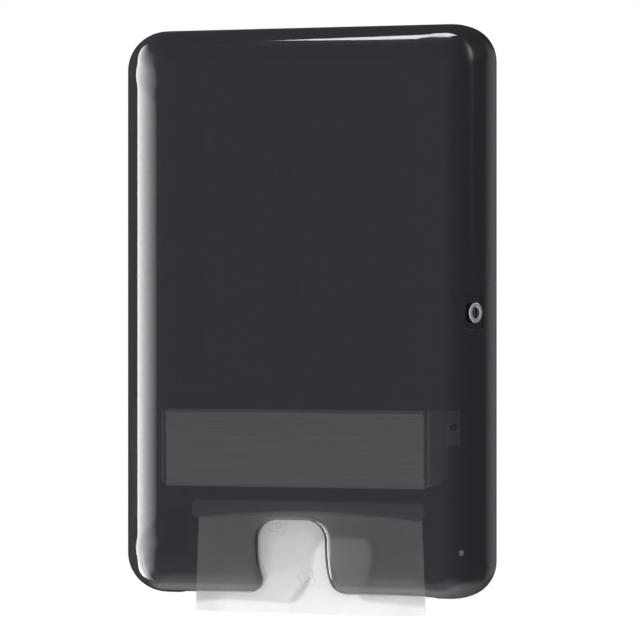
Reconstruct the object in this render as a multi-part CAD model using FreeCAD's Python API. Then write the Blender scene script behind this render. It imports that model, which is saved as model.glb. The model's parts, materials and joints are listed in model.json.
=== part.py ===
"""Wall dispenser for folded hand towels, in millimetres: +X right, +Y to the wall, +Z up."""

import math
import os

import FreeCAD
import Part

# Room left in the cover beside the towels and in front of them
side_room = 44.1
front_room = 14.0

# Cover outside shape
cover_height = 469.2
rim_gap = 0.5
shoulder_radius = 44.0
shoulder_angle = 79.0
rim_angle = 88.8
corner_radius = 30.0
shell_wall = 2.8

# Mask inside the cover
mask_gap = 0.3
mask_wall = 1.8
mask_rise = 156.6
mask_rim_depth = 16.0
tape_width = 18.0
tape_pitch = 80.0
tape_end_room = 80.0
tape_foot_room = 20.0

# Notch and outlet of the cover
notch_width = 55.0
notch_rise = 68.2
notch_corner_radius = 16.0
notch_flare_radius = 14.0
notch_flare_rise = 20.6
notch_flare_angle = 60.0
lip_radius = 9.0
lip_depth = 17.0
outlet_width = 220.0
outlet_margin = 6.0
outlet_rise = 29.6
outlet_corner_radius = 8.0

# Back housing
plate_thickness = 3.0
plate_margin = 0.1
upstand_height = 11.0
upstand_wall = 2.0
upstand_gap = 1.2
upstand_corner_room = 3.0
left_rail_width = 2.4
left_rail_height = 1.2
cut_back_depth = 6.5
cut_back_width = 10.6
wall_hole_radius = 2.75
wall_hole_pitch_x = 190.0
wall_hole_pitch_z = 350.0
boss_radius = 8.0
boss_height = 2.0
rib_height = 6.0
rib_width = 3.0
rib_end_room = 38.6

# Towels and their magazine
towel_width = 213.0
stack_depth = 84.7
stack_height = 290.4
towels_in_stack = 66
stack_gap = 0.3
guide_gap = 2.0
guide_wall = 2.0
guide_depth = 81.0
guide_spare_height = 12.6
guide_tab_width = 10.5
guide_tab_height = 30.0

# Throat
tray_rise = 93.6
tray_wall = 2.0
throat_back = 22.0
throat_opening = 13.0
throat_inset = 5.5
throat_wall_height = 19.0
flange_height = 19.0
tray_ear = 11.5
gusset_wall = 2.0
gusset_depth = 55.0
lip_inset = 9.0
lip_drop = 13.4
lip_height = 9.6
lip_sag = 6.5
lip_end_radius = 5.0
lip_edge_radius = 1.5
lip_back_wall = 2.0
lip_front_wall = 3.0
snap_gap = 0.2

# Hanging towel
sheet_thickness = 0.5
sheet_show = 12.7
sheet_depth = 29.0
sheet_top_inset = 13.5
sheet_bottom_inset = 9.5
wave_depth = 8.0
sheet_waves = 2.5
sheet_bulge = 0.7
sheet_arcs = 10
sheet_levels = 8
wave_start = 0.22
wave_full = 0.78

# Hinge
hinge_end_room = 49.6
axis_inset = 9.2
axis_gap = 15.0
pin_radius = 2.0
press_clearance = 0.02
running_clearance = 0.05
knuckle_radius = 4.3
knuckle_height = 20.0
knuckle_gap = 0.3
ear_height = 8.0
arm_reach = 15.0
arm_thickness = 6.5
leg_thickness = 4.0
foot_thickness = 3.0
pin_head_radius = 3.2
pin_head_height = 1.5
leaf_thickness = 2.5
leaf_start = 24.0
leaf_length = 26.0
leaf_height = 32.0
leaf_offset = 2.2

# Screws
screw_radius = 1.5
screw_clearance = 0.1
thread_clearance = 0.05
screw_head_radius = 3.0
screw_head_height = 1.8
screw_drive_width = 1.0
screw_drive_depth = 0.9

# Lock
lock_inset = 11.1
lock_setback = 2.5
lock_z = -1.0
lock_angle = 60.0
pocket_height = 27.0
pocket_front_reach = 22.0
pocket_back_reach = 14.0
pocket_corner_radius = 6.0
bezel_radius = 8.45
bezel_height = 4.5
barrel_radius = 6.0
barrel_length = 16.0
plug_radius = 4.7
plug_recess = 0.4
keyway_width = 1.5
keyway_height = 7.4
keyway_depth = 12.5
tail_size = 6.0
cam_thickness = 2.0
cam_width = 12.0
cam_length = 21.0
cam_hub_radius = 7.0
cam_gap = 0.2
washer_thickness = 0.8
washer_radius = 8.4
nut_flats = 17.0
nut_thickness = 4.0
keeper_gap = 0.4
keeper_start = 13.5
keeper_end = 24.0
keeper_thickness = 2.0
keeper_height = 18.0

# Blanking plug low on the right shoulder
blank_angle = 53.0
blank_rise = 44.1
blank_radius = 2.25
blank_cap = 0.8
blank_stem_radius = 1.6

# Derived sizes and places
cover_width = towel_width + 2 * side_room
cover_depth = plate_thickness + stack_gap + stack_depth + front_room
rim_depth = plate_thickness + rim_gap
half_width = cover_width / 2
half_height = cover_height / 2
foot_z = -half_height
mask_bottom = foot_z + mask_rise
notch_top = foot_z + notch_rise
notch_flare_z = foot_z + notch_flare_rise
outlet_depth = cover_depth - shoulder_radius + outlet_margin
tray_top = foot_z + tray_rise
throat_front = throat_back + throat_opening
lip_top = tray_top - lip_drop
lip_mid_bottom = lip_top - lip_height
lip_end_bottom = lip_mid_bottom - lip_sag
lip_back = throat_front - lip_back_wall
lip_front = throat_front + tray_wall + lip_front_wall
sheet_bottom = foot_z - sheet_show
hinge_z = half_height - hinge_end_room
axis_depth = plate_thickness + axis_gap
lock_depth = cover_depth - shoulder_radius - lock_setback
blank_z = foot_z + blank_rise
mask_offset = shell_wall + mask_gap
axis_x = -(half_width - axis_inset)
towel_half = towel_width / 2
throat_width = towel_width - 2 * throat_inset
lip_width = towel_width - 2 * lip_inset
sheet_half_top = towel_half - sheet_top_inset
sheet_half_bottom = towel_half - sheet_bottom_inset
guide_inner = towel_half + guide_gap
guide_outer = guide_inner + guide_wall
lock_x = half_width - lock_inset
stack_bottom = tray_top + stack_gap
stack_back = plate_thickness + stack_gap
sheet_top = stack_bottom - 0.2
front_depth = cover_depth + 20.0

os.makedirs("parts", exist_ok=True)


def vec(x, depth, z):
    """A point from its place to the right, its distance from the wall and its height."""
    return FreeCAD.Vector(x, -depth, z)


def box(x0, x1, d0, d1, z0, z1):
    """A block between two places to the right, two depths and two heights."""
    return Part.makeBox(x1 - x0, d1 - d0, z1 - z0, vec(x0, d1, z0))


def rod(x, depth, z, direction, radius, length):
    """A cylinder from a point along a direction given as right, depth, up."""
    return Part.makeCylinder(radius, length, vec(x, depth, z), vec(*direction))


def prism_x(points, x0, x1):
    """An outline of depth and height pairs, drawn out along X."""
    corners = [vec(x0, d, z) for d, z in points]
    face = Part.Face(Part.makePolygon(corners + corners[:1]))
    return face.extrude(FreeCAD.Vector(x1 - x0, 0, 0))


def fuse(shapes):
    """One solid from shapes that overlap."""
    whole = shapes[0].fuse(shapes[1:])
    return whole.removeSplitter()


def save(name, shape):
    """Write one node."""
    shape.exportStep("parts/" + name + ".step")


def rounded(shape, radius, edges):
    """The shape with the edges rounded, or with a smaller radius where that one fails."""
    for share in (1.0, 0.75, 0.5):
        try:
            result = shape.makeFillet(radius * share, edges)
        except Exception:
            continue
        if result.isValid() and result.Volume > 0:
            return result
    return shape


# The cover's profile, the same in plan and from the side
side_start = math.radians(shoulder_angle)
side_end = math.radians(rim_angle)
shoulder_depth = cover_depth - shoulder_radius
side_depth = shoulder_depth + shoulder_radius * math.cos(side_start)
side_radius = (side_depth - rim_depth) / (math.cos(side_start) - math.cos(side_end))
side_width = side_radius * (math.sin(side_end) - math.sin(side_start))
shoulder_x = half_width - side_width - shoulder_radius * math.sin(side_start)
side_x = shoulder_x - (side_radius - shoulder_radius) * math.sin(side_start)
side_centre = shoulder_depth - (side_radius - shoulder_radius) * math.cos(side_start)


def profile(offset):
    """Inset and depth of the profile from the front to the rim, moved inwards by offset."""
    points = []
    for step in range(10):
        angle = side_start * step / 9
        reach = shoulder_x + (shoulder_radius - offset) * math.sin(angle)
        depth = shoulder_depth + (shoulder_radius - offset) * math.cos(angle)
        points.append((half_width - reach, depth))
    for step in range(1, 6):
        angle = side_start + (side_end - side_start) * step / 5
        reach = side_x + (side_radius - offset) * math.sin(angle)
        depth = side_centre + (side_radius - offset) * math.cos(angle)
        points.append((half_width - reach, depth))
    return points


def section(half_w, half_h, radius, depth):
    """A rounded rectangle at a depth."""
    bend = radius * math.sqrt(0.5)
    edges = []
    for sx, sz in ((1, -1), (1, 1), (-1, 1), (-1, -1)):
        cx = sx * (half_w - radius)
        cz = sz * (half_h - radius)
        low = vec(cx, depth, cz + sz * radius)
        out = vec(cx + sx * radius, depth, cz)
        middle = vec(cx + sx * bend, depth, cz + sz * bend)
        first = low if sx * sz < 0 else out
        last = out if sx * sz < 0 else low
        edges.append((first, middle, last))
    lines = []
    for index, (first, middle, last) in enumerate(edges):
        lines.append(Part.Arc(first, middle, last).toShape())
        lines.append(Part.makeLine(last, edges[(index + 1) % 4][0]))
    return Part.Wire(lines)


def cover_body(offset, past_rim=0.0):
    """The filled cover, moved inwards by offset, and drawn out past its rim."""
    wires = []
    for inset, depth in profile(offset):
        size = (half_width - inset, half_height - inset)
        wires.append(section(size[0], size[1], corner_radius - offset, depth))
    if past_rim > 0:
        spread = past_rim / math.tan(side_end)
        size = (half_width - inset + spread, half_height - inset + spread)
        wires.append(section(size[0], size[1], corner_radius - offset, depth - past_rim))
    return Part.makeLoft(wires, True, False)


def notch_outline(grow):
    """The notch in the front view, as a face at the wall plane, grown by a margin."""
    half = notch_width / 2 + grow
    top = notch_top + grow
    corner = notch_corner_radius + grow
    flare = notch_flare_radius - grow
    angle = math.radians(notch_flare_angle)
    flare_x = notch_width / 2 + notch_flare_radius
    bend = corner * (1 - math.sqrt(0.5))
    end_x = flare_x - flare * math.cos(angle)
    end_z = notch_flare_z - flare * math.sin(angle)
    mid_x = flare_x - flare * math.cos(angle / 2)
    mid_z = notch_flare_z - flare * math.sin(angle / 2)
    low_z = -half_height - 25.0
    low_x = end_x + (end_z - low_z) * math.tan(angle)
    right = [
        Part.Arc(
            vec(half - corner, 0, top),
            vec(half - bend, 0, top - bend),
            vec(half, 0, top - corner),
        ).toShape(),
        Part.makeLine(vec(half, 0, top - corner), vec(half, 0, notch_flare_z)),
        Part.Arc(
            vec(half, 0, notch_flare_z), vec(mid_x, 0, mid_z), vec(end_x, 0, end_z)
        ).toShape(),
        Part.makeLine(vec(end_x, 0, end_z), vec(low_x, 0, low_z)),
    ]
    left = [edge.mirror(vec(0, 0, 0), FreeCAD.Vector(1, 0, 0)) for edge in right]
    top_line = Part.makeLine(vec(corner - half, 0, top), vec(half - corner, 0, top))
    low_line = Part.makeLine(vec(low_x, 0, low_z), vec(-low_x, 0, low_z))
    edges = Part.sortEdges([top_line] + right + [low_line] + left)[0]
    return Part.Face(Part.Wire(edges))


def notch_prism(grow):
    """The notch through the whole depth of the cover."""
    face = notch_outline(grow)
    face.translate(vec(0, -20.0, 0))
    return face.extrude(vec(0, front_depth + 20.0, 0))


def mouth_edges(shape, outline):
    """The edges where a prism's mouth meets the cover's skin."""
    found = []
    for edge in shape.Edges:
        first = edge.valueAt(edge.FirstParameter)
        last = edge.valueAt(edge.LastParameter)
        flat = abs(first.x - last.x) < 0.001 and abs(first.z - last.z) < 0.001
        off = 0.0
        for share in (0.0, 0.25, 0.5, 0.75, 1.0):
            span = edge.LastParameter - edge.FirstParameter
            point = edge.valueAt(edge.FirstParameter + share * span)
            seen = Part.Vertex(vec(point.x, 0, point.z))
            off = max(off, outline.distToShape(seen)[0])
        if off < 0.01 and not flat:
            found.append(edge)
    return found


def notched(body, grow, radius):
    """A cover body with the notch cut in and its mouth rolled over."""
    cut = body.cut(notch_prism(grow))
    outline = notch_outline(grow).OuterWire
    return rounded(cut, radius, mouth_edges(cut, outline))


# The lock's own frame: local Z out of the pocket, local Y up
lock_sin = math.sin(math.radians(lock_angle))
lock_cos = math.cos(math.radians(lock_angle))
lock_axes = FreeCAD.Matrix(
    lock_cos, 0, lock_sin, lock_x,
    lock_sin, 0, -lock_cos, -lock_depth,
    0, 1, 0, lock_z,
    0, 0, 0, 1,
)  # fmt: skip


def in_lock_frame(shape):
    """Move a shape from the lock's own frame to the object's."""
    placed = shape.copy()
    placed.Placement = FreeCAD.Placement(lock_axes).multiply(placed.Placement)
    return placed


def lock_rod(radius, z0, z1):
    """A cylinder on the lock's axis."""
    return in_lock_frame(Part.makeCylinder(radius, z1 - z0, FreeCAD.Vector(0, 0, z0)))


def lock_block(x0, x1, y0, y1, z0, z1):
    """A block in the lock's own frame."""
    corner = FreeCAD.Vector(x0, y0, z0)
    return in_lock_frame(Part.makeBox(x1 - x0, y1 - y0, z1 - z0, corner))


def pocket_prism(grow, floor):
    """The pocket round the lock, grown by a margin, from its floor outwards."""
    length = pocket_front_reach + pocket_back_reach + 2 * grow
    height = pocket_height + 2 * grow
    corner = FreeCAD.Vector(-pocket_front_reach - grow, -height / 2, floor)
    block = Part.makeBox(length, height, 30.0 - floor, corner)
    posts = []
    for edge in block.Edges:
        first = edge.valueAt(edge.FirstParameter)
        last = edge.valueAt(edge.LastParameter)
        if abs(first.x - last.x) < 0.001 and abs(first.y - last.y) < 0.001:
            posts.append(edge)
    return in_lock_frame(block.makeFillet(pocket_corner_radius + grow, posts))


def pan_screw(x, depth, z, direction, length):
    """A slotted screw: its head outside the point, its shank along the direction."""
    back = tuple(-part for part in direction)
    head = rod(x, depth, z, back, screw_head_radius, screw_head_height)
    head = head.makeFillet(screw_head_height * 0.4, [top_rim(head, back)])
    shank = rod(x, depth, z, direction, screw_radius, length)
    whole = fuse([head, shank])
    reach = screw_head_height - screw_drive_depth
    span = screw_head_radius * 1.4
    wide = screw_drive_width / 2
    slot_dir = vec(*back)
    start = vec(x, depth, z) + slot_dir * reach
    slot = Part.makeBox(
        2 * (wide if abs(slot_dir.x) < 0.5 else 2.0),
        2 * (wide if abs(slot_dir.y) < 0.5 else 2.0),
        2 * span,
    )
    size = slot.BoundBox
    middle = start + slot_dir * 2.0
    slot.translate(
        middle - FreeCAD.Vector(size.XLength / 2, size.YLength / 2, size.ZLength / 2)
    )
    return whole.cut(slot)


def top_rim(cylinder, direction):
    """The circle edge of a cylinder that lies furthest along a direction."""
    way = vec(*direction)
    circles = [edge for edge in cylinder.Edges if len(edge.Vertexes) == 1]
    return max(circles, key=lambda edge: edge.CenterOfMass.dot(way))


# Cover shell
outer_body = cover_body(0.0)
inner_body = cover_body(shell_wall, 6.0)
outer_notched = notched(outer_body, 0.0, lip_radius)
inner_notched = notched(inner_body, shell_wall, lip_radius - shell_wall)
pocket_cut = outer_notched.cut(pocket_prism(0.0, 0.0))
pocket_room = inner_notched.cut(pocket_prism(shell_wall, -shell_wall))
shell = pocket_cut.cut(pocket_room).cut(cover_body(lip_depth, 6.0))
outlet_half = outlet_width / 2
outlet = box(
    -outlet_half, outlet_half, -20.0, outlet_depth, foot_z - 20.0, foot_z + outlet_rise
)
outlet_posts = []
for edge in outlet.Edges:
    middle = edge.CenterOfMass
    upright = abs(edge.Vertexes[0].X - edge.Vertexes[1].X) < 0.001
    upright = upright and abs(edge.Vertexes[0].Y - edge.Vertexes[1].Y) < 0.001
    if upright and middle.y < -outlet_depth + 0.001:
        outlet_posts.append(edge)
outlet = outlet.makeFillet(outlet_corner_radius, outlet_posts)
shell = shell.cut(outlet)
cut_back_x = -half_width + cut_back_width
shell = shell.cut(
    box(-half_width - 5, cut_back_x, 0, cut_back_depth, -half_height - 5, half_height + 5)
)

leaf_x = axis_x - leaf_offset
leaf_middle = leaf_start + leaf_length / 2
for place_z in (-hinge_z, hinge_z):
    pad = box(
        -half_width - 2,
        leaf_x,
        leaf_start + 2,
        leaf_start + leaf_length - 2,
        place_z - leaf_height / 2,
        place_z + leaf_height / 2,
    )
    shell = shell.fuse(pad.common(outer_body))
    for side in (-1, 1):
        bore = rod(
            leaf_x,
            leaf_middle,
            place_z + side * leaf_height * 0.28,
            (-1, 0, 0),
            screw_radius + thread_clearance,
            3.4,
        )
        shell = shell.cut(bore)

blank_sin = math.sin(math.radians(blank_angle))
blank_cos = math.cos(math.radians(blank_angle))
blank_x = shoulder_x + shoulder_radius * blank_sin
blank_depth = shoulder_depth + shoulder_radius * blank_cos
blank_out = (blank_sin, blank_cos, 0)
blank_in = (-blank_sin, -blank_cos, 0)
blank_hole = rod(
    blank_x + blank_sin,
    blank_depth + blank_cos,
    blank_z,
    blank_in,
    blank_stem_radius + screw_clearance,
    shell_wall + 3.0,
)
shell = shell.cut(blank_hole)
shell = shell.cut(lock_rod(barrel_radius + screw_clearance, -shell_wall - 2, 2.0))
save("cover_shell", shell)

# Mask and its tape
mask = cover_body(mask_offset, 6.0).cut(cover_body(mask_offset + mask_wall, 8.0))
mask = mask.common(
    box(-half_width, half_width, mask_rim_depth, cover_depth, mask_bottom, half_height)
)
mask = mask.cut(pocket_prism(shell_wall + 0.6, -shell_wall - 0.6))
mask = mask.cut(
    box(
        -half_width,
        axis_x + 8.0,
        0,
        leaf_start + leaf_length + 4,
        hinge_z - leaf_height / 2 - 6,
        hinge_z + leaf_height / 2 + 6,
    )
)
save("cover_mask", mask)

tape_depth = cover_depth - shell_wall
strips = []
for strip_x in (-tape_pitch, 0.0, tape_pitch):
    strips.append(
        box(
            strip_x - tape_width / 2,
            strip_x + tape_width / 2,
            tape_depth - mask_gap,
            tape_depth,
            mask_bottom + tape_foot_room,
            half_height - tape_end_room,
        )
    )
save("mask_tape", Part.makeCompound(strips))

# Blanking plug
blank_head = rod(blank_x, blank_depth, blank_z, blank_out, blank_radius, blank_cap)
blank_head = blank_head.makeFillet(blank_cap * 0.6, [top_rim(blank_head, blank_out)])
blank_stem = rod(
    blank_x + blank_sin * 0.1,
    blank_depth + blank_cos * 0.1,
    blank_z,
    blank_in,
    blank_stem_radius,
    shell_wall + 0.8,
)
save("blanking_plug", fuse([blank_head, blank_stem]))

# Back housing
plate_half_w = half_width + plate_margin
plate_half_h = half_height + plate_margin
plate = Part.Face(section(plate_half_w, plate_half_h, corner_radius, 0.0))
plate = plate.extrude(vec(0, plate_thickness, 0))
ring_half_w = half_width - shell_wall - upstand_gap
ring_half_h = half_height - shell_wall - upstand_gap
ring_radius = corner_radius - shell_wall - upstand_gap
ring = Part.Face(section(ring_half_w, ring_half_h, ring_radius, plate_thickness - 1.0))
ring = ring.extrude(vec(0, upstand_height + 1.0, 0))
ring_hole = Part.Face(
    section(
        ring_half_w - upstand_wall,
        ring_half_h - upstand_wall,
        ring_radius - upstand_wall,
        plate_thickness - 2.0,
    )
)
ring = ring.cut(ring_hole.extrude(vec(0, upstand_height + 4.0, 0)))
swing_clear_x = corner_radius + upstand_corner_room - half_width
ring = ring.cut(
    box(-half_width - 5, swing_clear_x, 0, 40.0, -half_height - 5, half_height + 5)
)
rail = box(
    -plate_half_w,
    -plate_half_w + left_rail_width,
    plate_thickness - 1.0,
    plate_thickness + left_rail_height,
    -half_height + corner_radius + 2,
    half_height - corner_radius - 2,
)
pieces = [plate, ring, rail]
wall_holes = []
for hole_x in (-wall_hole_pitch_x / 2, wall_hole_pitch_x / 2):
    for hole_z in (-wall_hole_pitch_z / 2, wall_hole_pitch_z / 2):
        wall_holes.append((hole_x, hole_z))
for hole_x, hole_z in wall_holes:
    base = plate_thickness - 1.0
    pieces.append(
        rod(hole_x, base, hole_z, (0, 1, 0), boss_radius, boss_height + 1.0)
    )
rib_half = guide_inner - 4.0
for rib_z in (foot_z + rib_end_room, half_height - rib_end_room):
    pieces.append(
        box(
            -rib_half,
            rib_half,
            plate_thickness - 1.0,
            plate_thickness + rib_height,
            rib_z - rib_width / 2,
            rib_z + rib_width / 2,
        )
    )
housing = fuse(pieces)
for hole_x, hole_z in wall_holes:
    hole = rod(hole_x, -5.0, hole_z, (0, 1, 0), wall_hole_radius, 20.0)
    housing = housing.cut(hole)

# Screw places on the housing: right, height and thickness of what is held
guide_screw_x = guide_outer + guide_tab_width / 2
guide_tab_places = (-95.0, 85.0)
bracket_x = axis_x + arm_reach
foot_x1 = -guide_outer - 1.0
bracket_screw_x = (bracket_x + leg_thickness + foot_x1) / 2
bracket_half = knuckle_height / 2 + knuckle_gap + ear_height
tray_screw_x = towel_half + 1.0 + tray_ear / 2
tray_screw_z = tray_top - tray_wall - flange_height * 0.55
keeper_foot_x0 = guide_outer + 11.5
strike_screw_x = keeper_foot_x0 + 5.0
guide_screws = []
bracket_screws = []
tray_screws = []
strike_screws = []


def housing_screw(group, x, z, held):
    """Add a screw through a held thickness into the housing, and bore its hole there."""
    length = held + plate_thickness - 0.4
    group.append(pan_screw(x, plate_thickness + held, z, (0, -1, 0), length))
    radius = screw_radius + thread_clearance
    hole = rod(x, plate_thickness + 0.5, z, (0, -1, 0), radius, plate_thickness + 0.2)
    return hole


for side in (-1, 1):
    for tab_z in guide_tab_places:
        hole = housing_screw(guide_screws, side * guide_screw_x, tab_z, guide_wall)
        housing = housing.cut(hole)
    for place_z in (-hinge_z, hinge_z):
        screw_z = place_z + side * bracket_half * 0.6
        hole = housing_screw(bracket_screws, bracket_screw_x, screw_z, foot_thickness)
        housing = housing.cut(hole)
    hole = housing_screw(tray_screws, side * tray_screw_x, tray_screw_z, tray_wall)
    housing = housing.cut(hole)
    screw_z = lock_z + side * keeper_height * 0.26
    hole = housing_screw(strike_screws, strike_screw_x, screw_z, keeper_thickness)
    housing = housing.cut(hole)
save("back_housing", housing)
save("guide_screws", Part.makeCompound(guide_screws))
save("bracket_screws", Part.makeCompound(bracket_screws))
save("tray_screws", Part.makeCompound(tray_screws))
save("strike_screws", Part.makeCompound(strike_screws))

# Side guides
guide_bottom = tray_top + 3.0
guide_names = {-1: "side_guide_left", 1: "side_guide_right"}
for side, name in guide_names.items():
    low = min(side * guide_inner, side * guide_outer)
    pieces = [
        box(
            low,
            low + guide_wall,
            plate_thickness,
            plate_thickness + guide_depth,
            guide_bottom,
            guide_bottom + stack_height + guide_spare_height,
        )
    ]
    for tab_z in guide_tab_places:
        far = side * (guide_outer + guide_tab_width)
        near = side * (guide_inner + 0.5)
        pieces.append(
            box(
                min(near, far),
                max(near, far),
                plate_thickness,
                plate_thickness + guide_wall,
                tab_z - guide_tab_height / 2,
                tab_z + guide_tab_height / 2,
            )
        )
    guide = fuse(pieces)
    for tab_z in guide_tab_places:
        radius = screw_radius + screw_clearance
        hole = rod(side * guide_screw_x, 0, tab_z, (0, 1, 0), radius, 20.0)
        guide = guide.cut(hole)
    save(name, guide)

# Throat tray
tray_half = towel_half + 1.0
slot_half = throat_width / 2
flange_top = tray_top - tray_wall
flange_half = tray_half + tray_ear
pieces = [
    box(
        -tray_half,
        tray_half,
        plate_thickness,
        stack_back + stack_depth,
        flange_top,
        tray_top,
    ),
    box(
        -slot_half - 2,
        slot_half + 2,
        throat_back - tray_wall,
        throat_back,
        flange_top - throat_wall_height + 4,
        tray_top - 0.5,
    ),
    box(
        -slot_half - 2,
        slot_half + 2,
        throat_front,
        throat_front + tray_wall,
        flange_top - throat_wall_height + 2,
        tray_top - 0.5,
    ),
    box(
        -tray_half,
        tray_half,
        plate_thickness,
        plate_thickness + tray_wall,
        flange_top - flange_height,
        flange_top + 0.5,
    ),
    box(
        -flange_half,
        flange_half,
        plate_thickness,
        plate_thickness + tray_wall,
        flange_top - flange_height,
        flange_top - 2.0,
    ),
]
for side in (-1, 1):
    edge_x = side * (tray_half - 1.5)
    far_x = side * (tray_half - 1.5 - gusset_wall)
    outline = [
        (plate_thickness + 0.5, flange_top + 0.5),
        (plate_thickness + gusset_depth, flange_top + 0.5),
        (plate_thickness + gusset_depth, flange_top - 3.0),
        (plate_thickness + 0.5, flange_top - flange_height + 1.0),
    ]
    pieces.append(prism_x(outline, min(edge_x, far_x), max(edge_x, far_x)))
tray = fuse(pieces)
tray = tray.cut(
    box(
        -slot_half,
        slot_half,
        throat_back,
        throat_front,
        flange_top - 30.0,
        tray_top + 5,
    )
)
for side in (-1, 1):
    radius = screw_radius + screw_clearance
    hole = rod(side * tray_screw_x, 0, tray_screw_z, (0, 1, 0), radius, 20.0)
    tray = tray.cut(hole)
save("throat_tray", tray)

# Throat lip, snapped on the tray's front wall
lip_half = lip_width / 2
lip_points = [
    vec(-lip_half, lip_back, lip_end_bottom),
    vec(0, lip_back, lip_mid_bottom),
    vec(lip_half, lip_back, lip_end_bottom),
]
lip_edges = [
    Part.Arc(lip_points[0], lip_points[1], lip_points[2]).toShape(),
    Part.makeLine(lip_points[2], vec(lip_half, lip_back, lip_top)),
    Part.makeLine(vec(lip_half, lip_back, lip_top), vec(-lip_half, lip_back, lip_top)),
    Part.makeLine(vec(-lip_half, lip_back, lip_top), lip_points[0]),
]
lip = Part.Face(Part.Wire(lip_edges)).extrude(vec(0, lip_front - lip_back, 0))
ends = [edge for edge in lip.Edges if abs(edge.CenterOfMass.x) > lip_half - 0.01]
ends = [edge for edge in ends if abs(edge.BoundBox.ZLength) < 0.001]
lip = rounded(lip, lip_end_radius, ends)
front_rim = []
for edge in lip.Edges:
    if edge.BoundBox.YMax < -lip_front + 0.001:
        front_rim.append(edge)
lip = rounded(lip, lip_edge_radius, front_rim)
wall_bottom = flange_top - throat_wall_height + 2
lip = lip.cut(
    box(
        -slot_half - 4,
        slot_half + 4,
        throat_front - snap_gap,
        throat_front + tray_wall + snap_gap,
        wall_bottom - snap_gap,
        tray_top,
    )
)
save("throat_lip", lip)

# Towel stack, one closed piece to each folded towel
pitch = stack_height / towels_in_stack
fold_radius = pitch * 0.42
towels = []
for index in range(towels_in_stack):
    base = stack_bottom + index * pitch
    towel = box(
        -towel_half,
        towel_half,
        stack_back,
        stack_back + stack_depth,
        base,
        base + pitch * 0.96,
    )
    folds = []
    for edge in towel.Edges:
        along = edge.BoundBox.XLength > towel_width - 0.01
        if along:
            folds.append(edge)
    towels.append(towel.makeFillet(fold_radius, folds))
save("towel_stack", Part.makeCompound(towels))

# Hanging towel, a sheet whose waves grow towards its foot, in arcs
def wave_swing(share):
    """How much of the full wave shows at a share of the way down the sheet."""
    ramp = (share - wave_start) / (wave_full - wave_start)
    ramp = min(1.0, max(0.0, ramp))
    return ramp * ramp * (3 - 2 * ramp)


def wave_depth_at(across, swing):
    """The sheet's depth at a share of its half width, for a share of the full wave."""
    room = 1 - across * across
    wave = math.cos(math.pi * sheet_waves * across)
    return sheet_depth + swing * wave_depth * room * (sheet_bulge + wave)


def wave_edges(half, swing, side, z):
    """One face of the sheet at a height, as arcs or as straight lines where it is flat."""
    edges = []
    for step in range(sheet_arcs):
        points = []
        for part in (0.0, 0.5, 1.0):
            across = 2 * (step + part) / sheet_arcs - 1
            depth = wave_depth_at(across, swing) + side * sheet_thickness / 2
            points.append(vec(half * across, depth, z))
        flat = abs(points[0].y + points[2].y - 2 * points[1].y) < 0.001
        if flat:
            edges.append(Part.makeLine(points[0], points[2]))
        else:
            edges.append(Part.Arc(points[0], points[1], points[2]).toShape())
    return edges


sheet_wires = []
for level in range(sheet_levels + 1):
    share = level / sheet_levels
    swing = wave_swing(share)
    z = sheet_top + (sheet_bottom - sheet_top) * share
    half = sheet_half_top + (sheet_half_bottom - sheet_half_top) * share
    front = wave_edges(half, swing, 1, z)
    back = wave_edges(half, swing, -1, z)
    ends = []
    for sign in (-1, 1):
        ends.append(
            Part.makeLine(
                vec(sign * half, sheet_depth - sheet_thickness / 2, z),
                vec(sign * half, sheet_depth + sheet_thickness / 2, z),
            )
        )
    sheet_wires.append(Part.Wire(Part.sortEdges(front + ends + back)[0]))
save("hanging_towel", Part.makeLoft(sheet_wires, True, False))

# Hinges
for name, place_z in (("upper", hinge_z), ("lower", -hinge_z)):
    low = place_z - bracket_half
    high = place_z + bracket_half
    half = knuckle_height / 2
    pieces = [
        box(bracket_x, bracket_x + leg_thickness, plate_thickness,
            axis_depth + arm_thickness / 2, low, high),
        box(bracket_x, foot_x1, plate_thickness,
            plate_thickness + foot_thickness, low, high),
    ]  # fmt: skip
    for ear_low in (low, place_z + half + knuckle_gap):
        pieces.append(rod(axis_x, axis_depth, ear_low, (0, 0, 1), knuckle_radius, ear_height))
        pieces.append(
            box(
                axis_x,
                bracket_x + 1.0,
                axis_depth - arm_thickness / 2,
                axis_depth + arm_thickness / 2,
                ear_low,
                ear_low + ear_height,
            )
        )
    bracket = fuse(pieces)
    bore = rod(
        axis_x,
        axis_depth,
        low - 5,
        (0, 0, 1),
        pin_radius + press_clearance,
        2 * bracket_half + 10,
    )
    bracket = bracket.cut(bore)
    for side in (-1, 1):
        hole = rod(
            bracket_screw_x,
            0,
            place_z + side * bracket_half * 0.6,
            (0, 1, 0),
            screw_radius + screw_clearance,
            20.0,
        )
        bracket = bracket.cut(hole)
    save("hinge_bracket_" + name, bracket)

    pin = fuse(
        [
            rod(axis_x, axis_depth, low - 1.0, (0, 0, 1), pin_radius, 2 * bracket_half + 1.5),
            rod(axis_x, axis_depth, high, (0, 0, 1), pin_head_radius, pin_head_height),
        ]
    )
    save("hinge_pin_" + name, pin)

    leaf = fuse(
        [
            rod(axis_x, axis_depth, place_z - half, (0, 0, 1), knuckle_radius, 2 * half),
            box(leaf_x, leaf_x + leaf_thickness, axis_depth, leaf_start + 1.0,
                place_z - half, place_z + half),
            box(leaf_x, leaf_x + leaf_thickness, leaf_start, leaf_start + leaf_length,
                place_z - leaf_height / 2, place_z + leaf_height / 2),
        ]
    )  # fmt: skip
    bore = rod(
        axis_x,
        axis_depth,
        place_z - half - 5,
        (0, 0, 1),
        pin_radius + running_clearance,
        2 * half + 10,
    )
    leaf = leaf.cut(bore)
    for side in (-1, 1):
        hole = rod(
            leaf_x - 5,
            leaf_middle,
            place_z + side * leaf_height * 0.28,
            (1, 0, 0),
            screw_radius + screw_clearance,
            20.0,
        )
        leaf = leaf.cut(hole)
    save("hinge_leaf_" + name, leaf)

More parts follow.
